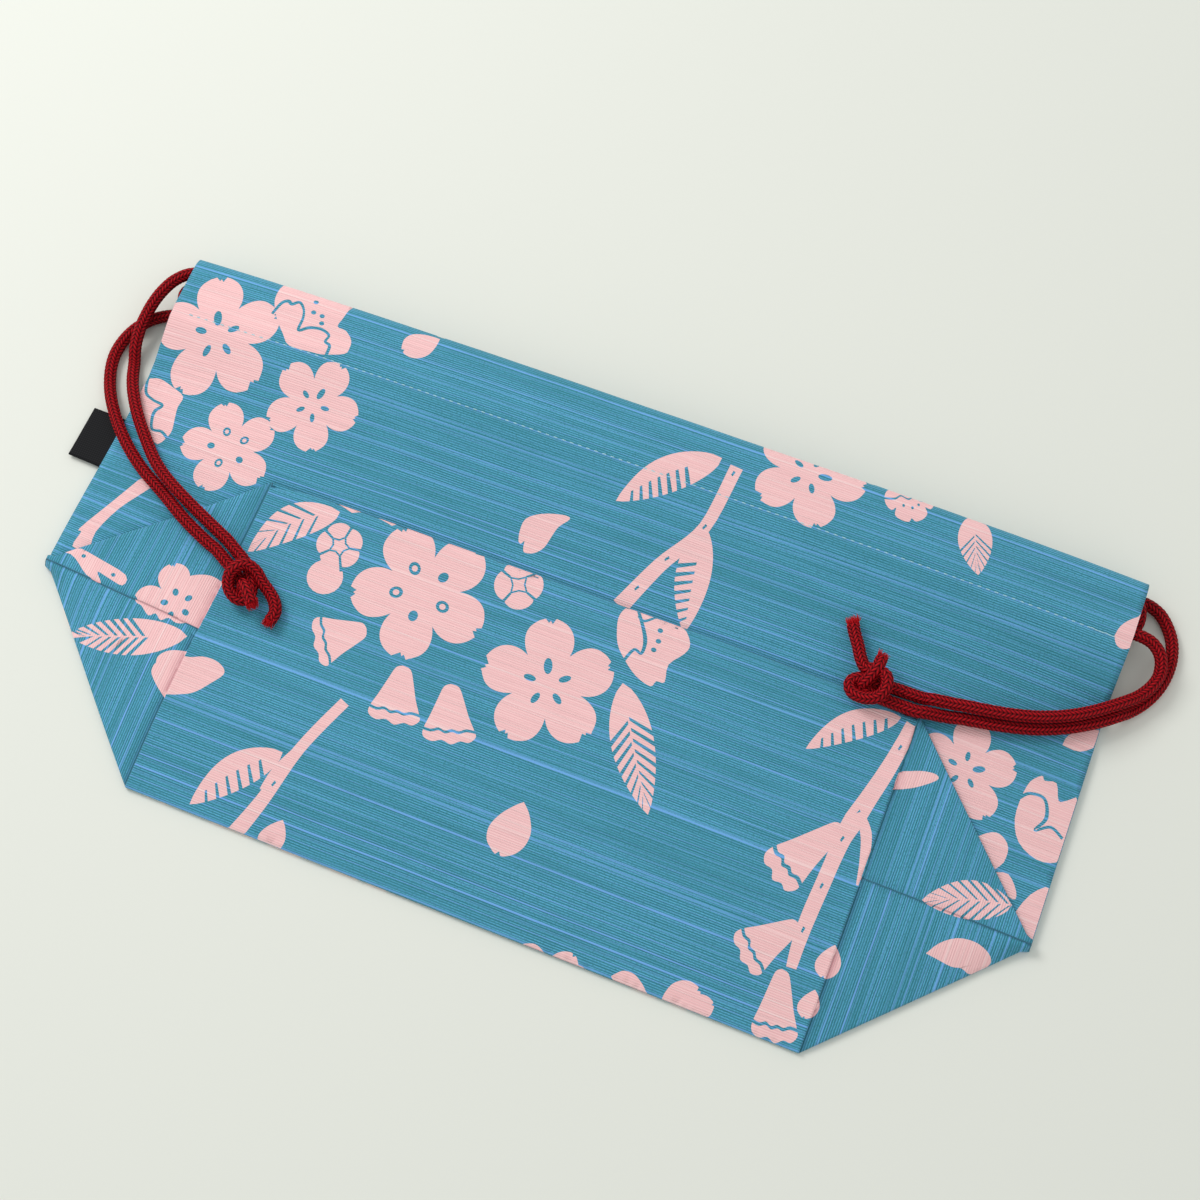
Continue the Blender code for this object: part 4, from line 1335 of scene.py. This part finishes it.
on_bottom += bare_line([
    (18.0, 112.5), (22.1, 106.8), (23.9, 103.1), (23.9, 99.5), (21.3, 99.9), (19.4, 94.8),
], 1.0, 1.4, 0.9, 1.1)
on_bottom += bare_line([(18.6, 110.8), (21.2, 110.0), (24.8, 113.2)], 0.7, 0.9, 0.7)
on_bottom += bare_dots(0.95, (27.0, 108.8), (27.7, 105.3), (27.3, 102.1))
for apex, base, width in (
    ((-61.9, 74.7), (-75.8, 64.6), 1.0), ((-45.5, 68.0), (-42.0, 49.2), 0.9),
    ((-28.8, 68.0), (-22.7, 49.7), 0.9), ((103.1, 70.0), (88.3, 47.2), 0.56),
    ((100.9, 35.8), (87.6, 20.4), 0.74), ((101.1, 21.4), (105.3, 0.5), 0.68),
):
    on_bottom += bell_bud(apex, base, width)
on_bottom += [(True, disc((-82.1, 86.5), 6, 20))]
on_bottom += round_bud((-81.9, 98.0), (-85.3, 105.3), 5)
on_bottom += round_bud((-21.6, 106.6), (-24.8, 114.3), 4)
on_bottom += leaf((22.0, 88.2), (45.0, 50.8), (26.9, 66.0), (38.1, 74.2), 0.25, 8)
on_bottom += only("middle", leaf((-86.5, 108.9), (-109.6, 85.5), (-107.2, 101.7), (-97.1, 94.2), 0.2, 5))
on_bottom += only("triangle", leaf((-115.7, 51.7), (-154.5, 39.1), (-136.0, 50.7), (-133.8, 38.3), 0.3, 8))
on_bottom += leaf((-70.8, 27.7), (-92.2, 2.1), (-87.9, 19.2), (-78.9, 11.8), 0.2, 6, 1)
on_bottom += leaf((108.9, 110.0), (84.0, 89.2), (93.3, 106.2), (100.5, 99.8), 0.12, 7, 1)
on_bottom += only("triangle", leaf((160.5, 66.2), (133.8, 57.1), (145.8, 68.7), (151.1, 57.4), 0.0, 8))
on_bottom += only("triangle", shape_of([
    (112.0, 86.0), (114.0, 92.6), (117.4, 94.6), (121.5, 96.2), (125.4, 96.6), (126.0, 94.8), (119.6, 89.6),
]))
on_bottom += only("middle", shape_of([
    (-114.5, 45.0), (-111.5, 45.6), (-107.9, 47.2), (-103.6, 47.5), (-100.1, 46.2), (-99.1, 44.0),
    (-101.7, 40.1), (-104.9, 36.0), (-108.8, 33.5), (-115.3, 32.2),
]))
on_bottom += only("triangle", shape_of([
    (-121.4, 40.0), (-121.7, 42.1), (-119.9, 44.6), (-116.3, 46.3), (-110.9, 46.5), (-109.4, 38.7),
    (-112.4, 30.7), (-116.1, 31.9), (-121.0, 35.9), (-121.8, 38.5),
]))
for stem, tip in (
    ((7.1, 40.5), (5.4, 22.1)), ((-62.2, 8.1), (-64.4, -3.5)),
    ((113.3, 34.0), (113.0, 23.2)),
    ((112.2, 19.1), (111.7, 9.9)), ((34.3, -9.5), (22.5, -0.9)), ((34.3, -9.5), (39.5, 2.4)),
    ((37.5, -4.9), (45.5, -1.8)), ((66.6, -3.3), (52.2, -0.1)), ((69.5, -2.2), (79.3, 6.4)),
    ((75.8, -1.4), (84.9, 3.8)),
):
    on_bottom += petal(stem, tip)
on_bottom += only("triangle", shape_of([
    (140.3, 42.1), (143.1, 46.5), (147.7, 50.0), (153.1, 51.0), (157.4, 50.0), (159.9, 48.2), (159.6, 45.9),
    (155.6, 41.7), (152.2, 42.2), (148.9, 41.4), (143.8, 41.8),
]))
on_bottom += only("triangle", shape_of([
    (-168.3, 65.1), (-165.9, 66.9), (-162.1, 67.1), (-154.3, 65.9), (-144.0, 63.8),
    (-143.4, 60.1), (-148.7, 60.8), (-153.4, 61.6), (-150.6, 58.3), (-156.3, 59.3),
    (-162.5, 63.3),
]))
on_bottom += bare_dots(0.8, (-160.2, 65.0), (-147.9, 62.4))
on_bottom += twig(
    [(-58.7, 49.8), (-66.1, 30.9), (-70.9, 11.5), (-75.4, -2.3)], [3.6, 3.6, 4.5, 5.5], (0.6,),
)
on_bottom += twig([(-66.1, 30.9), (-70.5, 22.0), (-72.2, 14.4)], [3, 2.4, 1.8])
on_bottom += twig(
    [(112.5, 109.4), (112.1, 102.1), (110.3, 91.7), (107.9, 81.6), (105.9, 73.2), (104.5, 66.1),
     (103.9, 57.8), (103.4, 49.7), (102.8, 40.6), (102.6, 31.9), (103.1, 22.6)],
    [3.0, 4.6, 5.2, 5.6, 6.4, 5.4, 4.8, 4.8, 4.8, 4.4, 3.2], (0.12, 0.38, 0.5, 0.7, 0.88),
)
on_bottom += only("middle", twig(
    [(106.4, 75.9), (110.7, 70.6), (113.0, 62.4), (114.0, 53.9)], [3, 3.6, 3, 1.6],
))
on_bottom += [(True, [Vector(p) for p in ((-88.2, 113.0), (-79.9, 113.9), (-82.6, 110.0))])]
on_bottom += [(True, [Vector(p) for p in ((-73.8, 112.4), (-67.4, 112.6), (-68.4, 110.5))])]

on_back = [(kind, [Vector((-p.x, p.y)) for p in shape]) for kind, shape, *_ in on_bottom + on_front]
print(len(on_front), "shapes on the front,", len(on_bottom), "on the bottom,", len(on_back), "on the back")

# %% [markdown]
# ## Cutting the print into a panel
# A panel is a patch of the sheet between two rows. Its grid points and the outlines of its
# motifs go into one triangulation in flat millimetres, which is then put back on the sheet.
# Each triangle knows which outlines it lies in, and the last of them says printed or bare.

# %% Panels
panels = {
    "front": (row_of["mouth"] + 6, row_of["valley"], on_front),
    "bottom": (row_of["top fold"] + 4, row_of["bottom fold"] + 4, on_bottom),
    "back": (row_of["bottom fold"] + 4, row_of["back mouth"] + 6, on_back),
}
crease_rows = {"front": fold_rows, "bottom": seam_rows, "back": []}
weave_start = {"front": 0.0, "bottom": 0.2371, "back": 0.6}
triangle_start = {"lower": 0.31, "upper": 0.42}
print("rows in each panel:", {name: last - first for name, (first, last, _) in panels.items()})

# %% Places on a panel's flat drawing and on the sheet
print_inset, least_row = 0.10, 0.12


def lies_in(shape, x, y):
    """Whether a point lies inside a closed outline."""
    inside = False
    bx, by = shape[-1]
    for ax, ay in shape:
        if (ay > y) != (by > y) and x < (bx - ax) * (y - ay) / (by - ay) + ax:
            inside = not inside
        bx, by = ax, ay
    return inside


def station_before(x):
    """Number of the station at or before x, and how far x is towards the next."""
    low, high = 0, len(across_bag) - 1
    while high - low > 1:
        middle = (low + high) // 2
        if across_bag[middle] <= x:
            low = middle
        else:
            high = middle
    return low, (x - across_bag[low]) / (across_bag[high] - across_bag[low])


def row_line(values, station, share, first, last):
    """A value of each row at a place between two stations."""
    a, b = values[station], values[station + 1]
    return [a[row] + (b[row] - a[row]) * share for row in range(first, last + 1)]


def flat_place(first, last, flat_rows, point):
    """Where a plan point of a panel lies on the panel's flat drawing."""
    x, y = squared(point.x / 1000, point.y / 1000)
    x = min(max(x, -half_width + 1e-5), half_width - 1e-5)
    station, share = station_before(x)
    ys = row_line(outer_y, station, share, first, last)
    falls = ys[0] > ys[-1]
    for i in range(len(ys) - 1):
        inside = ys[i] >= y > ys[i + 1] if falls else ys[i] <= y < ys[i + 1]
        if inside:
            step = (y - ys[i]) / (ys[i + 1] - ys[i])
            return Vector((x * 1000, flat_rows[i] + (flat_rows[i + 1] - flat_rows[i]) * step))
    before = (y > ys[0]) if falls else (y < ys[0])
    edge = print_inset if flat_rows[1] > flat_rows[0] else -print_inset
    return Vector((x * 1000, flat_rows[0] + edge if before else flat_rows[-1] - edge))


def sheet_place(first, flat_rows, flat):
    """The point of the sheet's outer skin under a place on the flat drawing, and its y."""
    station, share = station_before(min(max(flat.x / 1000, -half_width), half_width))
    rising = flat_rows[1] > flat_rows[0]
    low, high = 0, len(flat_rows) - 1
    while high - low > 1:
        middle = (low + high) // 2
        if (flat_rows[middle] <= flat.y) == rising:
            low = middle
        else:
            high = middle
    step = (flat.y - flat_rows[low]) / (flat_rows[high] - flat_rows[low])
    corners = [skin_out[station + k][first + low + j] for k in (0, 1) for j in (0, 1)]
    side_a, side_b = corners[0].lerp(corners[1], step), corners[2].lerp(corners[3], step)
    y_a = outer_y[station][first + low] * (1 - step) + outer_y[station][first + low + 1] * step
    y_b = outer_y[station + 1][first + low] * (1 - step) + outer_y[station + 1][first + low + 1] * step
    return side_a.lerp(side_b, share), y_a + (y_b - y_a) * share


row_heights = [spot.z * 1000 for spot in skin_out[len(across_bag) // 2]]
print("in the middle the sheet's skin reaches", round(max(row_heights), 1), "mm up")

# %% Carry the outline across, leaving the panels open
bm = bmesh.new()
printed = bm.faces.layers.float.new("print")
# The crease layer holds painted shade along the folds and seams, from 0 to 1.
crease_shade_layer = bm.verts.layers.float.new("crease")
grain = bm.loops.layers.uv.new("weave")
ring_size = 2 * row_count
panel_rows = set()
for first, last, _ in panels.values():
    panel_rows.update(range(first, last))


def ring_place(station, index):
    """A corner of the closed outline: the inner skin first, then the outer one back."""
    if index < row_count:
        return skin_in[station][index]
    return skin_out[station][ring_size - 1 - index]


def in_panel(index):
    """Whether the outline's edge after this corner belongs to a panel's outer skin."""
    return index >= row_count and (ring_size - 2 - index) in panel_rows


kept = [i for i in range(ring_size) if not in_panel(i)]
used = sorted(set(kept) | {(i + 1) % ring_size for i in kept})
corner = {(0, i): bm.verts.new(ring_place(0, i)) for i in used}
edges = [bm.edges.new((corner[0, i], corner[0, (i + 1) % ring_size])) for i in kept]
for station in range(1, len(across_bag)):
    fresh, edges, _ = carry_on(bm, edges)
    for i in used:
        corner[station, i] = next_corner(corner[station - 1, i], fresh)
        corner[station, i].co = ring_place(station, i)

line_length = [0.0]
middle_station = len(across_bag) // 2
for a, b in zip(skin_out[middle_station], skin_out[middle_station][1:]):
    line_length.append(line_length[-1] + (b - a).length)
row_under = {}
for (station, i), vert in corner.items():
    row = i if i < row_count else ring_size - 1 - i
    row_under[vert] = (across_bag[station], line_length[row])
for face in bm.faces:
    for loop in face.loops:
        loop[grain].uv = row_under[loop.vert]
print("carried outline:", len(bm.faces), "faces")

# %% Fill each panel with its print
for name, (first, last, motifs) in panels.items():
    rows = list(range(first, last + 1))
    flat_rows = [outer_y[middle_station][row] * 1000 for row in rows]
    for i in range(1, len(flat_rows)):
        if flat_rows[-1] > flat_rows[0]:
            flat_rows[i] = max(flat_rows[i], flat_rows[i - 1] + least_row)
        else:
            flat_rows[i] = min(flat_rows[i], flat_rows[i - 1] - least_row)
    spots, known = [], []
    for station, x in enumerate(across_bag):
        for row, flat_y in zip(rows, flat_rows):
            spots.append(Vector((x * 1000, flat_y)))
            known.append((station, row))
    deep = len(rows)
    ends = len(across_bag) - 1
    border = [station * deep for station in range(ends + 1)]
    border += [ends * deep + j for j in range(1, deep)]
    border += [station * deep + deep - 1 for station in range(ends - 1, -1, -1)]
    border += [j for j in range(deep - 2, 0, -1)]
    lines = list(zip(border, border[1:] + border[:1]))
    shapes = []
    if name == "bottom":
        for x in (-half_bottom, half_bottom):
            crease = x * (1 - 0.0001 / half_bottom)
            station = min(range(len(across_bag)), key=lambda k: abs(across_bag[k] - crease))
            lines += [(station * deep + j, station * deep + j + 1) for j in range(deep - 1)]
    for row in crease_rows[name]:
        for station in range(ends):
            on_middle = min(abs(across_bag[station]), abs(across_bag[station + 1])) <= half_bottom
            if name == "front" or not on_middle:
                at = station * deep + row - first
                lines.append((at, at + deep))
    for kind, shape, *patch in motifs:
        start = len(spots)
        spots += [flat_place(first, last, flat_rows, point) for point in shape]
        own = range(start, len(spots))
        lines += [(i, i + 1) for i in own[:-1]] + [(own[-1], start)]
        drawn = [(spots[i].x, spots[i].y) for i in own]
        xs, flat_ys = [q[0] for q in drawn], [q[1] for q in drawn]
        shapes.append((kind, patch, min(xs), max(xs), min(flat_ys), max(flat_ys), drawn))
    flats, _, faces, from_spots, _, _ = delaunay_2d_cdt(spots, lines, [], 0, 1e-5)
    verts, ys = [], []
    for flat, sources in zip(flats, from_spots):
        grid = next((known[s] for s in sources if s < len(known)), None)
        place, y = sheet_place(first, flat_rows, flat)
        ys.append((flat.x / 1000, y))
        if grid is None:
            verts.append(bm.verts.new(place))
        else:
            station, row = grid
            key = (station, ring_size - 1 - row)
            if key not in corner:
                corner[key] = bm.verts.new(skin_out[station][row])
            verts.append(corner[key])
        # Painted shade beside the fold and the seams, at this corner.
        verts[-1][crease_shade_layer] = shade_beside(name, flat.x / 1000, y)
    count = 0
    for face in faces:
        corners = [verts[i] for i in face]
        if len(set(corners)) < 3:
            continue
        made = bm.faces.new(corners)
        x, y = sum(flats[i].x for i in face) / 3, sum(flats[i].y for i in face) / 3
        middle_x = sum(ys[i][0] for i in face) / 3
        half = "upper" if sum(ys[i][1] for i in face) / 3 > tip_height else "lower"
        here = ("triangle", half) if abs(middle_x) > half_bottom else ("middle",)
        for kind, patch, left, right, low, high, drawn in reversed(shapes):
            near = left < x < right and low < y < high and (not patch or patch[0] in here)
            if near and lies_in(drawn, x, y):
                made[printed] = 1.0 if kind else 0.0
                break
        for loop, i in zip(made.loops, face):
            x, y = ys[i]
            if name == "bottom" and abs(middle_x) > half_bottom:
                loop[grain].uv = (y, abs(x) + triangle_start["lower" if y < tip_height else "upper"])
            else:
                loop[grain].uv = (x, y + weave_start[name])
        count += 1
    print(name, "panel:", count, "triangles")

# %% Close the two ends, and finish the sheet's mesh
for station in (0, len(across_bag) - 1):
    for i in range(row_count - 1):
        far = ring_size - 1 - i
        end = [corner[station, k] for k in (i, i + 1, far - 1, far)]
        if len(set(end)) == 4 and bm.faces.get(end) is None:
            face = bm.faces.new(end)
            for loop in face.loops:
                loop[grain].uv = (loop.vert.co.x, loop.vert.co.y)
loose = [vert for vert in bm.verts if not vert.link_faces]
bmesh.ops.delete(bm, geom=loose, context="VERTS")
bmesh.ops.recalc_face_normals(bm, faces=bm.faces)
open_edges = sum(1 for edge in bm.edges if len(edge.link_faces) != 2)
print("sheet:", len(bm.faces), "faces,", open_edges, "edges that aren't shared by two faces")
sheet_bmesh = bm

# %% [markdown]
# ## The striped cotton
# The cloth is a yarn-dyed cotton: fine ribs, darker green threads and bands between them, and
# now and then a thick slub of bright periwinkle blue. Each of these is a line that runs along
# the weave, so the noise behind it is stretched a long way in that one direction. It follows
# the sheet's own UV map, because the stripes turn with the cloth at every fold.

# %% Weave group
rib_pitch, pick_pitch = 0.76, 0.42
weave, taken, given = new_group(
    "striped_weave", [("Vector", "NodeSocketVector", None)],
    ["Ribs", "Threads", "Bands", "Slubs", "Flecks", "Height"],
)
split = add(weave, "ShaderNodeSeparateXYZ", {0: taken["Vector"]})
along = sum_of(weave, "MULTIPLY", split.outputs["X"], 1000.0)
across = sum_of(weave, "MULTIPLY", split.outputs["Y"], 1000.0)


def streaks(scale_along, scale_across, shift=0.0, detail=1.0):
    """Noise drawn out along the weave."""
    place = add(weave, "ShaderNodeCombineXYZ", {
        "X": sum_of(weave, "MULTIPLY", along, 1 / scale_along),
        "Y": sum_of(weave, "MULTIPLY", across, 1 / scale_across),
        "Z": shift,
    }).outputs[0]
    noise = add(weave, "ShaderNodeTexNoise", {"Vector": place, "Scale": 1.0, "Detail": detail})
    return noise.outputs["Fac"]


drift = sum_of(weave, "MULTIPLY_ADD", streaks(70.0, 25.0, 3.0), 0.6, across)
rib_wave = sum_of(weave, "SINE", sum_of(weave, "MULTIPLY", drift, math.tau / rib_pitch))
ribs = sum_of(weave, "MULTIPLY_ADD", rib_wave, 0.5, 0.5)
threads = between(weave, streaks(22.0, 0.42, 9.0, 2.0), 0.32, 0.68)


def slub_lines(spacing, thin, thick, shift, strength):
    """Bright lines at uneven distances, each with a width of its own."""
    place = sum_of(weave, "MULTIPLY_ADD", drift, 1 / spacing, shift)
    cells = add(
        weave, "ShaderNodeTexVoronoi", {"W": place, "Scale": 1.0}, voronoi_dimensions="1D"
    )
    own = add(weave, "ShaderNodeSeparateColor", {0: cells.outputs["Color"]})
    width = sum_of(
        weave, "MULTIPLY_ADD", own.outputs["Red"], (thick - thin) / spacing, thin / spacing
    )
    swell = sum_of(weave, "MULTIPLY_ADD", streaks(14.0, 2.0, shift), 1.1, 0.45)
    reach = sum_of(weave, "MULTIPLY", width, swell)
    near = sum_of(weave, "DIVIDE", cells.outputs["Distance"], reach)
    line = between(weave, near, 0.75, 1.15, 1.0, 0.0)
    lit = between(weave, own.outputs["Green"], 0.05, 0.75, 0.35, 1.0)
    return sum_of(weave, "MULTIPLY", sum_of(weave, "MULTIPLY", line, lit), strength)


broad = slub_lines(5.6, 0.13, 0.38, 11.0, 1.0)
fine = slub_lines(1.9, 0.06, 0.15, 31.0, 0.7)
slubs = sum_of(weave, "MAXIMUM", broad, fine)
bands = between(weave, streaks(110.0, 6.0, 41.0, 3.0), 0.36, 0.66)
flecks = between(weave, streaks(0.7, 0.34, 17.0, 3.0), 0.47, 0.64)
cross = sum_of(weave, "SINE", sum_of(weave, "MULTIPLY", along, math.tau / pick_pitch))
height = sum_of(weave, "MULTIPLY_ADD", cross, 0.06, sum_of(weave, "MULTIPLY", ribs, 0.7))
height = sum_of(weave, "MULTIPLY_ADD", slubs, 0.6, height)
height = sum_of(weave, "MULTIPLY_ADD", threads, 0.35, height)
for name, value in (
    ("Ribs", ribs), ("Threads", threads), ("Bands", bands), ("Slubs", slubs),
    ("Flecks", flecks), ("Height", height),
):
    weave.links.new(value, given[name])

print("weave group has", len(weave.nodes), "nodes")

# %% Cotton material, dyed and printed
rib_valley, rib_back, band_blue = (0.012, 0.140, 0.190), (0.125, 0.470, 0.700), (0.026, 0.205, 0.255)
thread_blue, fleck_green, slub_blue = (0.080, 0.330, 0.500), (0.028, 0.175, 0.165), (0.170, 0.415, 0.820)
pink_valley, pink_back = (0.880, 0.500, 0.505), (0.960, 0.620, 0.610)
pink_thread, pink_slub = (0.860, 0.460, 0.475), (0.985, 0.800, 0.780)
# Painted shade beside folds and seams, on the blue cloth and on the pink print.
blue_crease_shade, pink_crease_shade = (0.006, 0.055, 0.090), (0.45, 0.15, 0.19)

cotton, tree, shader = new_material("striped_cotton")
place = add(tree, "ShaderNodeUVMap", uv_map="weave").outputs[0]
lines = add(tree, "ShaderNodeGroup", {"Vector": place}, node_tree=weave).outputs
ground = mixed(tree, lines["Ribs"], rib_valley, rib_back)
ground = mixed(tree, sum_of(tree, "MULTIPLY", lines["Bands"], 0.42), ground, band_blue)
ground = mixed(tree, sum_of(tree, "MULTIPLY", lines["Threads"], 0.32), ground, thread_blue)
ground = mixed(tree, sum_of(tree, "MULTIPLY", lines["Flecks"], 0.52), ground, fleck_green)
ground = mixed(tree, sum_of(tree, "MULTIPLY", lines["Slubs"], 0.95), ground, slub_blue)
pink = mixed(tree, lines["Ribs"], pink_valley, pink_back)
pink = mixed(tree, sum_of(tree, "MULTIPLY", lines["Threads"], 0.35), pink, pink_thread)
pink = mixed(tree, sum_of(tree, "MULTIPLY", lines["Slubs"], 0.42), pink, pink_slub)
inked = add(tree, "ShaderNodeAttribute", attribute_name="print").outputs["Fac"]
dyed = mixed(tree, inked, ground, pink)
# The cloth is painted darker beside folds and seams, where shade falls.
painted_crease_shade = add(tree, "ShaderNodeAttribute", attribute_name="crease").outputs["Fac"]
crease_shade_tone = mixed(tree, inked, blue_crease_shade, pink_crease_shade)
shaded = mixed(tree, sum_of(tree, "MULTIPLY", painted_crease_shade, 0.52), dyed, crease_shade_tone)
tree.links.new(shaded, shader.inputs["Base Color"])
bump = add(tree, "ShaderNodeBump", {"Height": lines["Height"], "Strength": 0.75, "Distance": 0.00018})
tree.links.new(bump.outputs["Normal"], shader.inputs["Normal"])
shader.inputs["Roughness"].default_value = 0.88
shader.inputs["Specular IOR Level"].default_value = 0.25
shader.inputs["Sheen Weight"].default_value = 0.12
folded_bag = finish_piece(sheet_bmesh, "folded_bag", cotton, "bag_cloth", "bag_cloth")

# %% [markdown]
# ## Side seams
# Below the slits the front and the back are sewn together. The seam shows as a narrow rounded
# edge between the two layers. It could be part of the sheet, but a small strip carried down
# each side keeps the sheet simple and leaves a gap where the label is caught in the seam.

# %% Seam strips
seam_round, seam_middle, seam_half = 0.00035, 0.00115, 0.00105
seam_tuck, seam_foot, seam_head = 0.0009, 0.0002, 0.0021


def closed_ring(bm, corners):
    """A closed outline of corners, and its edges."""
    ring = [bm.verts.new(place) for place in corners]
    return ring, [bm.edges.new((ring[i], ring[(i + 1) % len(ring)])) for i in range(len(ring))]


def lay_in_frame(bm):
    """Moves a squared-up mesh to where the soft bag really lies, with its faces outwards."""
    for vert in bm.verts:
        vert.co.x, vert.co.y = as_laid(vert.co.x, vert.co.y)
        vert.co += into_frame
    bmesh.ops.recalc_face_normals(bm, faces=bm.faces)


def seam_strip(name, side, low, high):
    """A closed rounded strip that joins front and back along a side."""
    profile = []
    for i in range(9):
        angle = math.pi * (i / 8 - 0.5)
        profile.append((seam_round * math.cos(angle), seam_middle + seam_half * math.sin(angle)))
    profile += [(-seam_tuck, seam_head), (-seam_tuck, seam_foot)]
    bm = bmesh.new()
    uv = bm.loops.layers.uv.new("weave")
    _, edges = closed_ring(bm, [(side * half_width + side * x, low, z) for x, z in profile])
    bmesh.ops.edgeloop_fill(bm, edges=edges)
    steps = max(round((high - low) / 0.004), 2)
    for step in range(steps):
        fresh, edges, _ = carry_on(bm, edges)
        bmesh.ops.translate(bm, verts=list(fresh), vec=(0, (high - low) / steps, 0))
    bmesh.ops.edgeloop_fill(bm, edges=edges)
    for face in bm.faces:
        for loop in face.loops:
            loop[uv].uv = (loop.vert.co.x, loop.vert.co.y + loop.vert.co.z)
    lay_in_frame(bm)
    finish_piece(bm, name, cotton, "bag_cloth", "bag_cloth")


seam_low, seam_high = tip_height - tip_bluntness, bag_height - slit_length
label_high = bag_height - label_from_mouth
label_low = label_high - label_width
seam_strip("right_seam", 1, seam_low, seam_high)
seam_strip("left_seam_low", -1, seam_low, label_low - seat_gap)
seam_strip("left_seam_high", -1, label_high + seat_gap, seam_high)
print("side seams run from", round(seam_low * 1000), "to", round(seam_high * 1000), "mm")

# %% [markdown]
# ## The casing's stitches
# A casing is closed by one row of small machine stitches in pale aqua thread, doubled where
# the row ends. A thread woven in and out of the cloth would be hidden for half its length,
# so only the part that shows is made: a short rounded bead whose ends dip into the cloth.

# %% Thread's material
pale_thread, bright_thread = (0.270, 0.550, 0.630), (0.420, 0.700, 0.760)
thread_finish, tree, shader = new_material("aqua_thread")
place = add(tree, "ShaderNodeTexCoord").outputs["Object"]
ply = add(
    tree, "ShaderNodeTexWave", {"Vector": place, "Scale": 900.0, "Distortion": 2.0},
    bands_direction="DIAGONAL",
)
thread_tone = mixed(tree, ply.outputs["Fac"], pale_thread, bright_thread)
tree.links.new(thread_tone, shader.inputs["Base Color"])
bump = add(tree, "ShaderNodeBump", {"Height": ply.outputs["Fac"], "Strength": 0.4, "Distance": 0.00005})
tree.links.new(bump.outputs["Normal"], shader.inputs["Normal"])
shader.inputs["Roughness"].default_value = 0.6
print("thread's material has", len(tree.nodes), "nodes")

# %% Rows of stitches
stitch_length, tack_pitch, tack_slip = 0.0016, 0.00115, 0.00012
bead_half_width, bead_half_height = 0.00021, 0.00018
front_sunk, back_sunk = 0.00009, 0.00012


def sew_row(name, on_front):
    """A whole row of stitches along a casing, as one piece."""
    bm = bmesh.new()
    reach = half_width - thread_inset
    places = []
    x = -reach
    while x < reach - bar_tack:
        places.append((x + 0.00095, stitch_row))
        x += stitch_pitch
    x = reach - bar_tack
    while x < reach:
        places.append((x + 0.0007, stitch_row + chance.uniform(-tack_slip, tack_slip)))
        x += tack_pitch
    for x, y in places:
        made = bmesh.ops.create_uvsphere(bm, u_segments=8, v_segments=6, radius=1)["verts"]
        bmesh.ops.rotate(bm, verts=made, matrix=Matrix.Rotation(math.pi / 2, 3, "Y"))
        bead = (stitch_length / 2, bead_half_width, bead_half_height)
        bmesh.ops.scale(bm, verts=made, vec=bead)
        slant = Matrix.Rotation(chance.uniform(-0.06, 0.06), 3, "Z")
        bmesh.ops.rotate(bm, verts=made, matrix=slant)
        if on_front:
            z = front_soft(x, y) + cloth / 2 + front_sunk
        else:
            z = back_height(stitch_row) - cloth / 2 - back_sunk
        bmesh.ops.translate(bm, verts=made, vec=(*as_laid(x, y), z))
        bmesh.ops.translate(bm, verts=made, vec=into_frame)
    finish_piece(bm, name.replace("stitching", "stitches"), thread_finish, "thread", name)
    print(name, "has", len(places), "stitches")


sew_row("front_casing_stitching", True)
sew_row("back_casing_stitching", False)

# %% [markdown]
# ## The label
# The label is a strip of black woven tape, folded over and caught in the side seam. A plain
# box would hide that it is folded, so the profile of the folded tape is carried along its
# width. Its weave is only a fine bump, because it is too small to see as threads.

# %% Label's material
label_finish, tree, shader = new_material("black_tape")
place = add(tree, "ShaderNodeTexCoord").outputs["Object"]
warp = add(tree, "ShaderNodeTexWave", {"Vector": place, "Scale": 420.0}, bands_direction="Y")
weft = add(tree, "ShaderNodeTexWave", {"Vector": place, "Scale": 420.0}, bands_direction="X")
cells = sum_of(tree, "MULTIPLY", warp.outputs["Fac"], weft.outputs["Fac"])
tree.links.new(mixed(tree, cells, (0.006, 0.006, 0.007), (0.022, 0.022, 0.024)), shader.inputs["Base Color"])
bump = add(tree, "ShaderNodeBump", {"Height": cells, "Strength": 0.5, "Distance": 0.00010})
tree.links.new(bump.outputs["Normal"], shader.inputs["Normal"])
shader.inputs["Roughness"].default_value = 0.7
shader.inputs["Specular IOR Level"].default_value = 0.12
print("label's material has", len(tree.nodes), "nodes")

# %% The folded tape


def make_label():
    """The folded tape, its two ends inside the seam."""
    inside, fold = -half_width + label_inside, -half_width - label_reach
    floor = cloth + seat_gap
    low = floor + label_ply / 2
    middle, bend = low + label_ply, label_ply
    line = [(x, low) for x in spread(inside, fold + bend, 10)]
    for i in range(9):
        angle = math.pi * i / 8
        line.append((fold + bend - bend * math.sin(angle), middle - bend * math.cos(angle)))
    line += [(x, middle + bend) for x in spread(fold + bend, inside, 10)[1:] + [inside]]
    outline = offset_line(line, label_ply / 2) + offset_line(line, -label_ply / 2)[::-1]
    bm = bmesh.new()
    ring, edges = closed_ring(bm, [(x, label_low, z) for x, z in outline])
    count, steps = len(ring), 20
    rings = [ring]
    for _ in range(steps):
        fresh, edges, _ = carry_on(bm, edges)
        bmesh.ops.translate(bm, verts=list(fresh), vec=(0, label_width / steps, 0))
        rings.append([next_corner(vert, fresh) for vert in rings[-1]])
    for ring in (rings[0], rings[-1]):
        for i in range(count // 2 - 1):
            bm.faces.new((ring[i], ring[i + 1], ring[count - 2 - i], ring[count - 1 - i]))
    lay_in_frame(bm)
    return finish_piece(bm, "woven_label", label_finish, "label", "side_label")


woven_label = make_label()
print(woven_label.name, "has", len(woven_label.data.polygons), "faces")
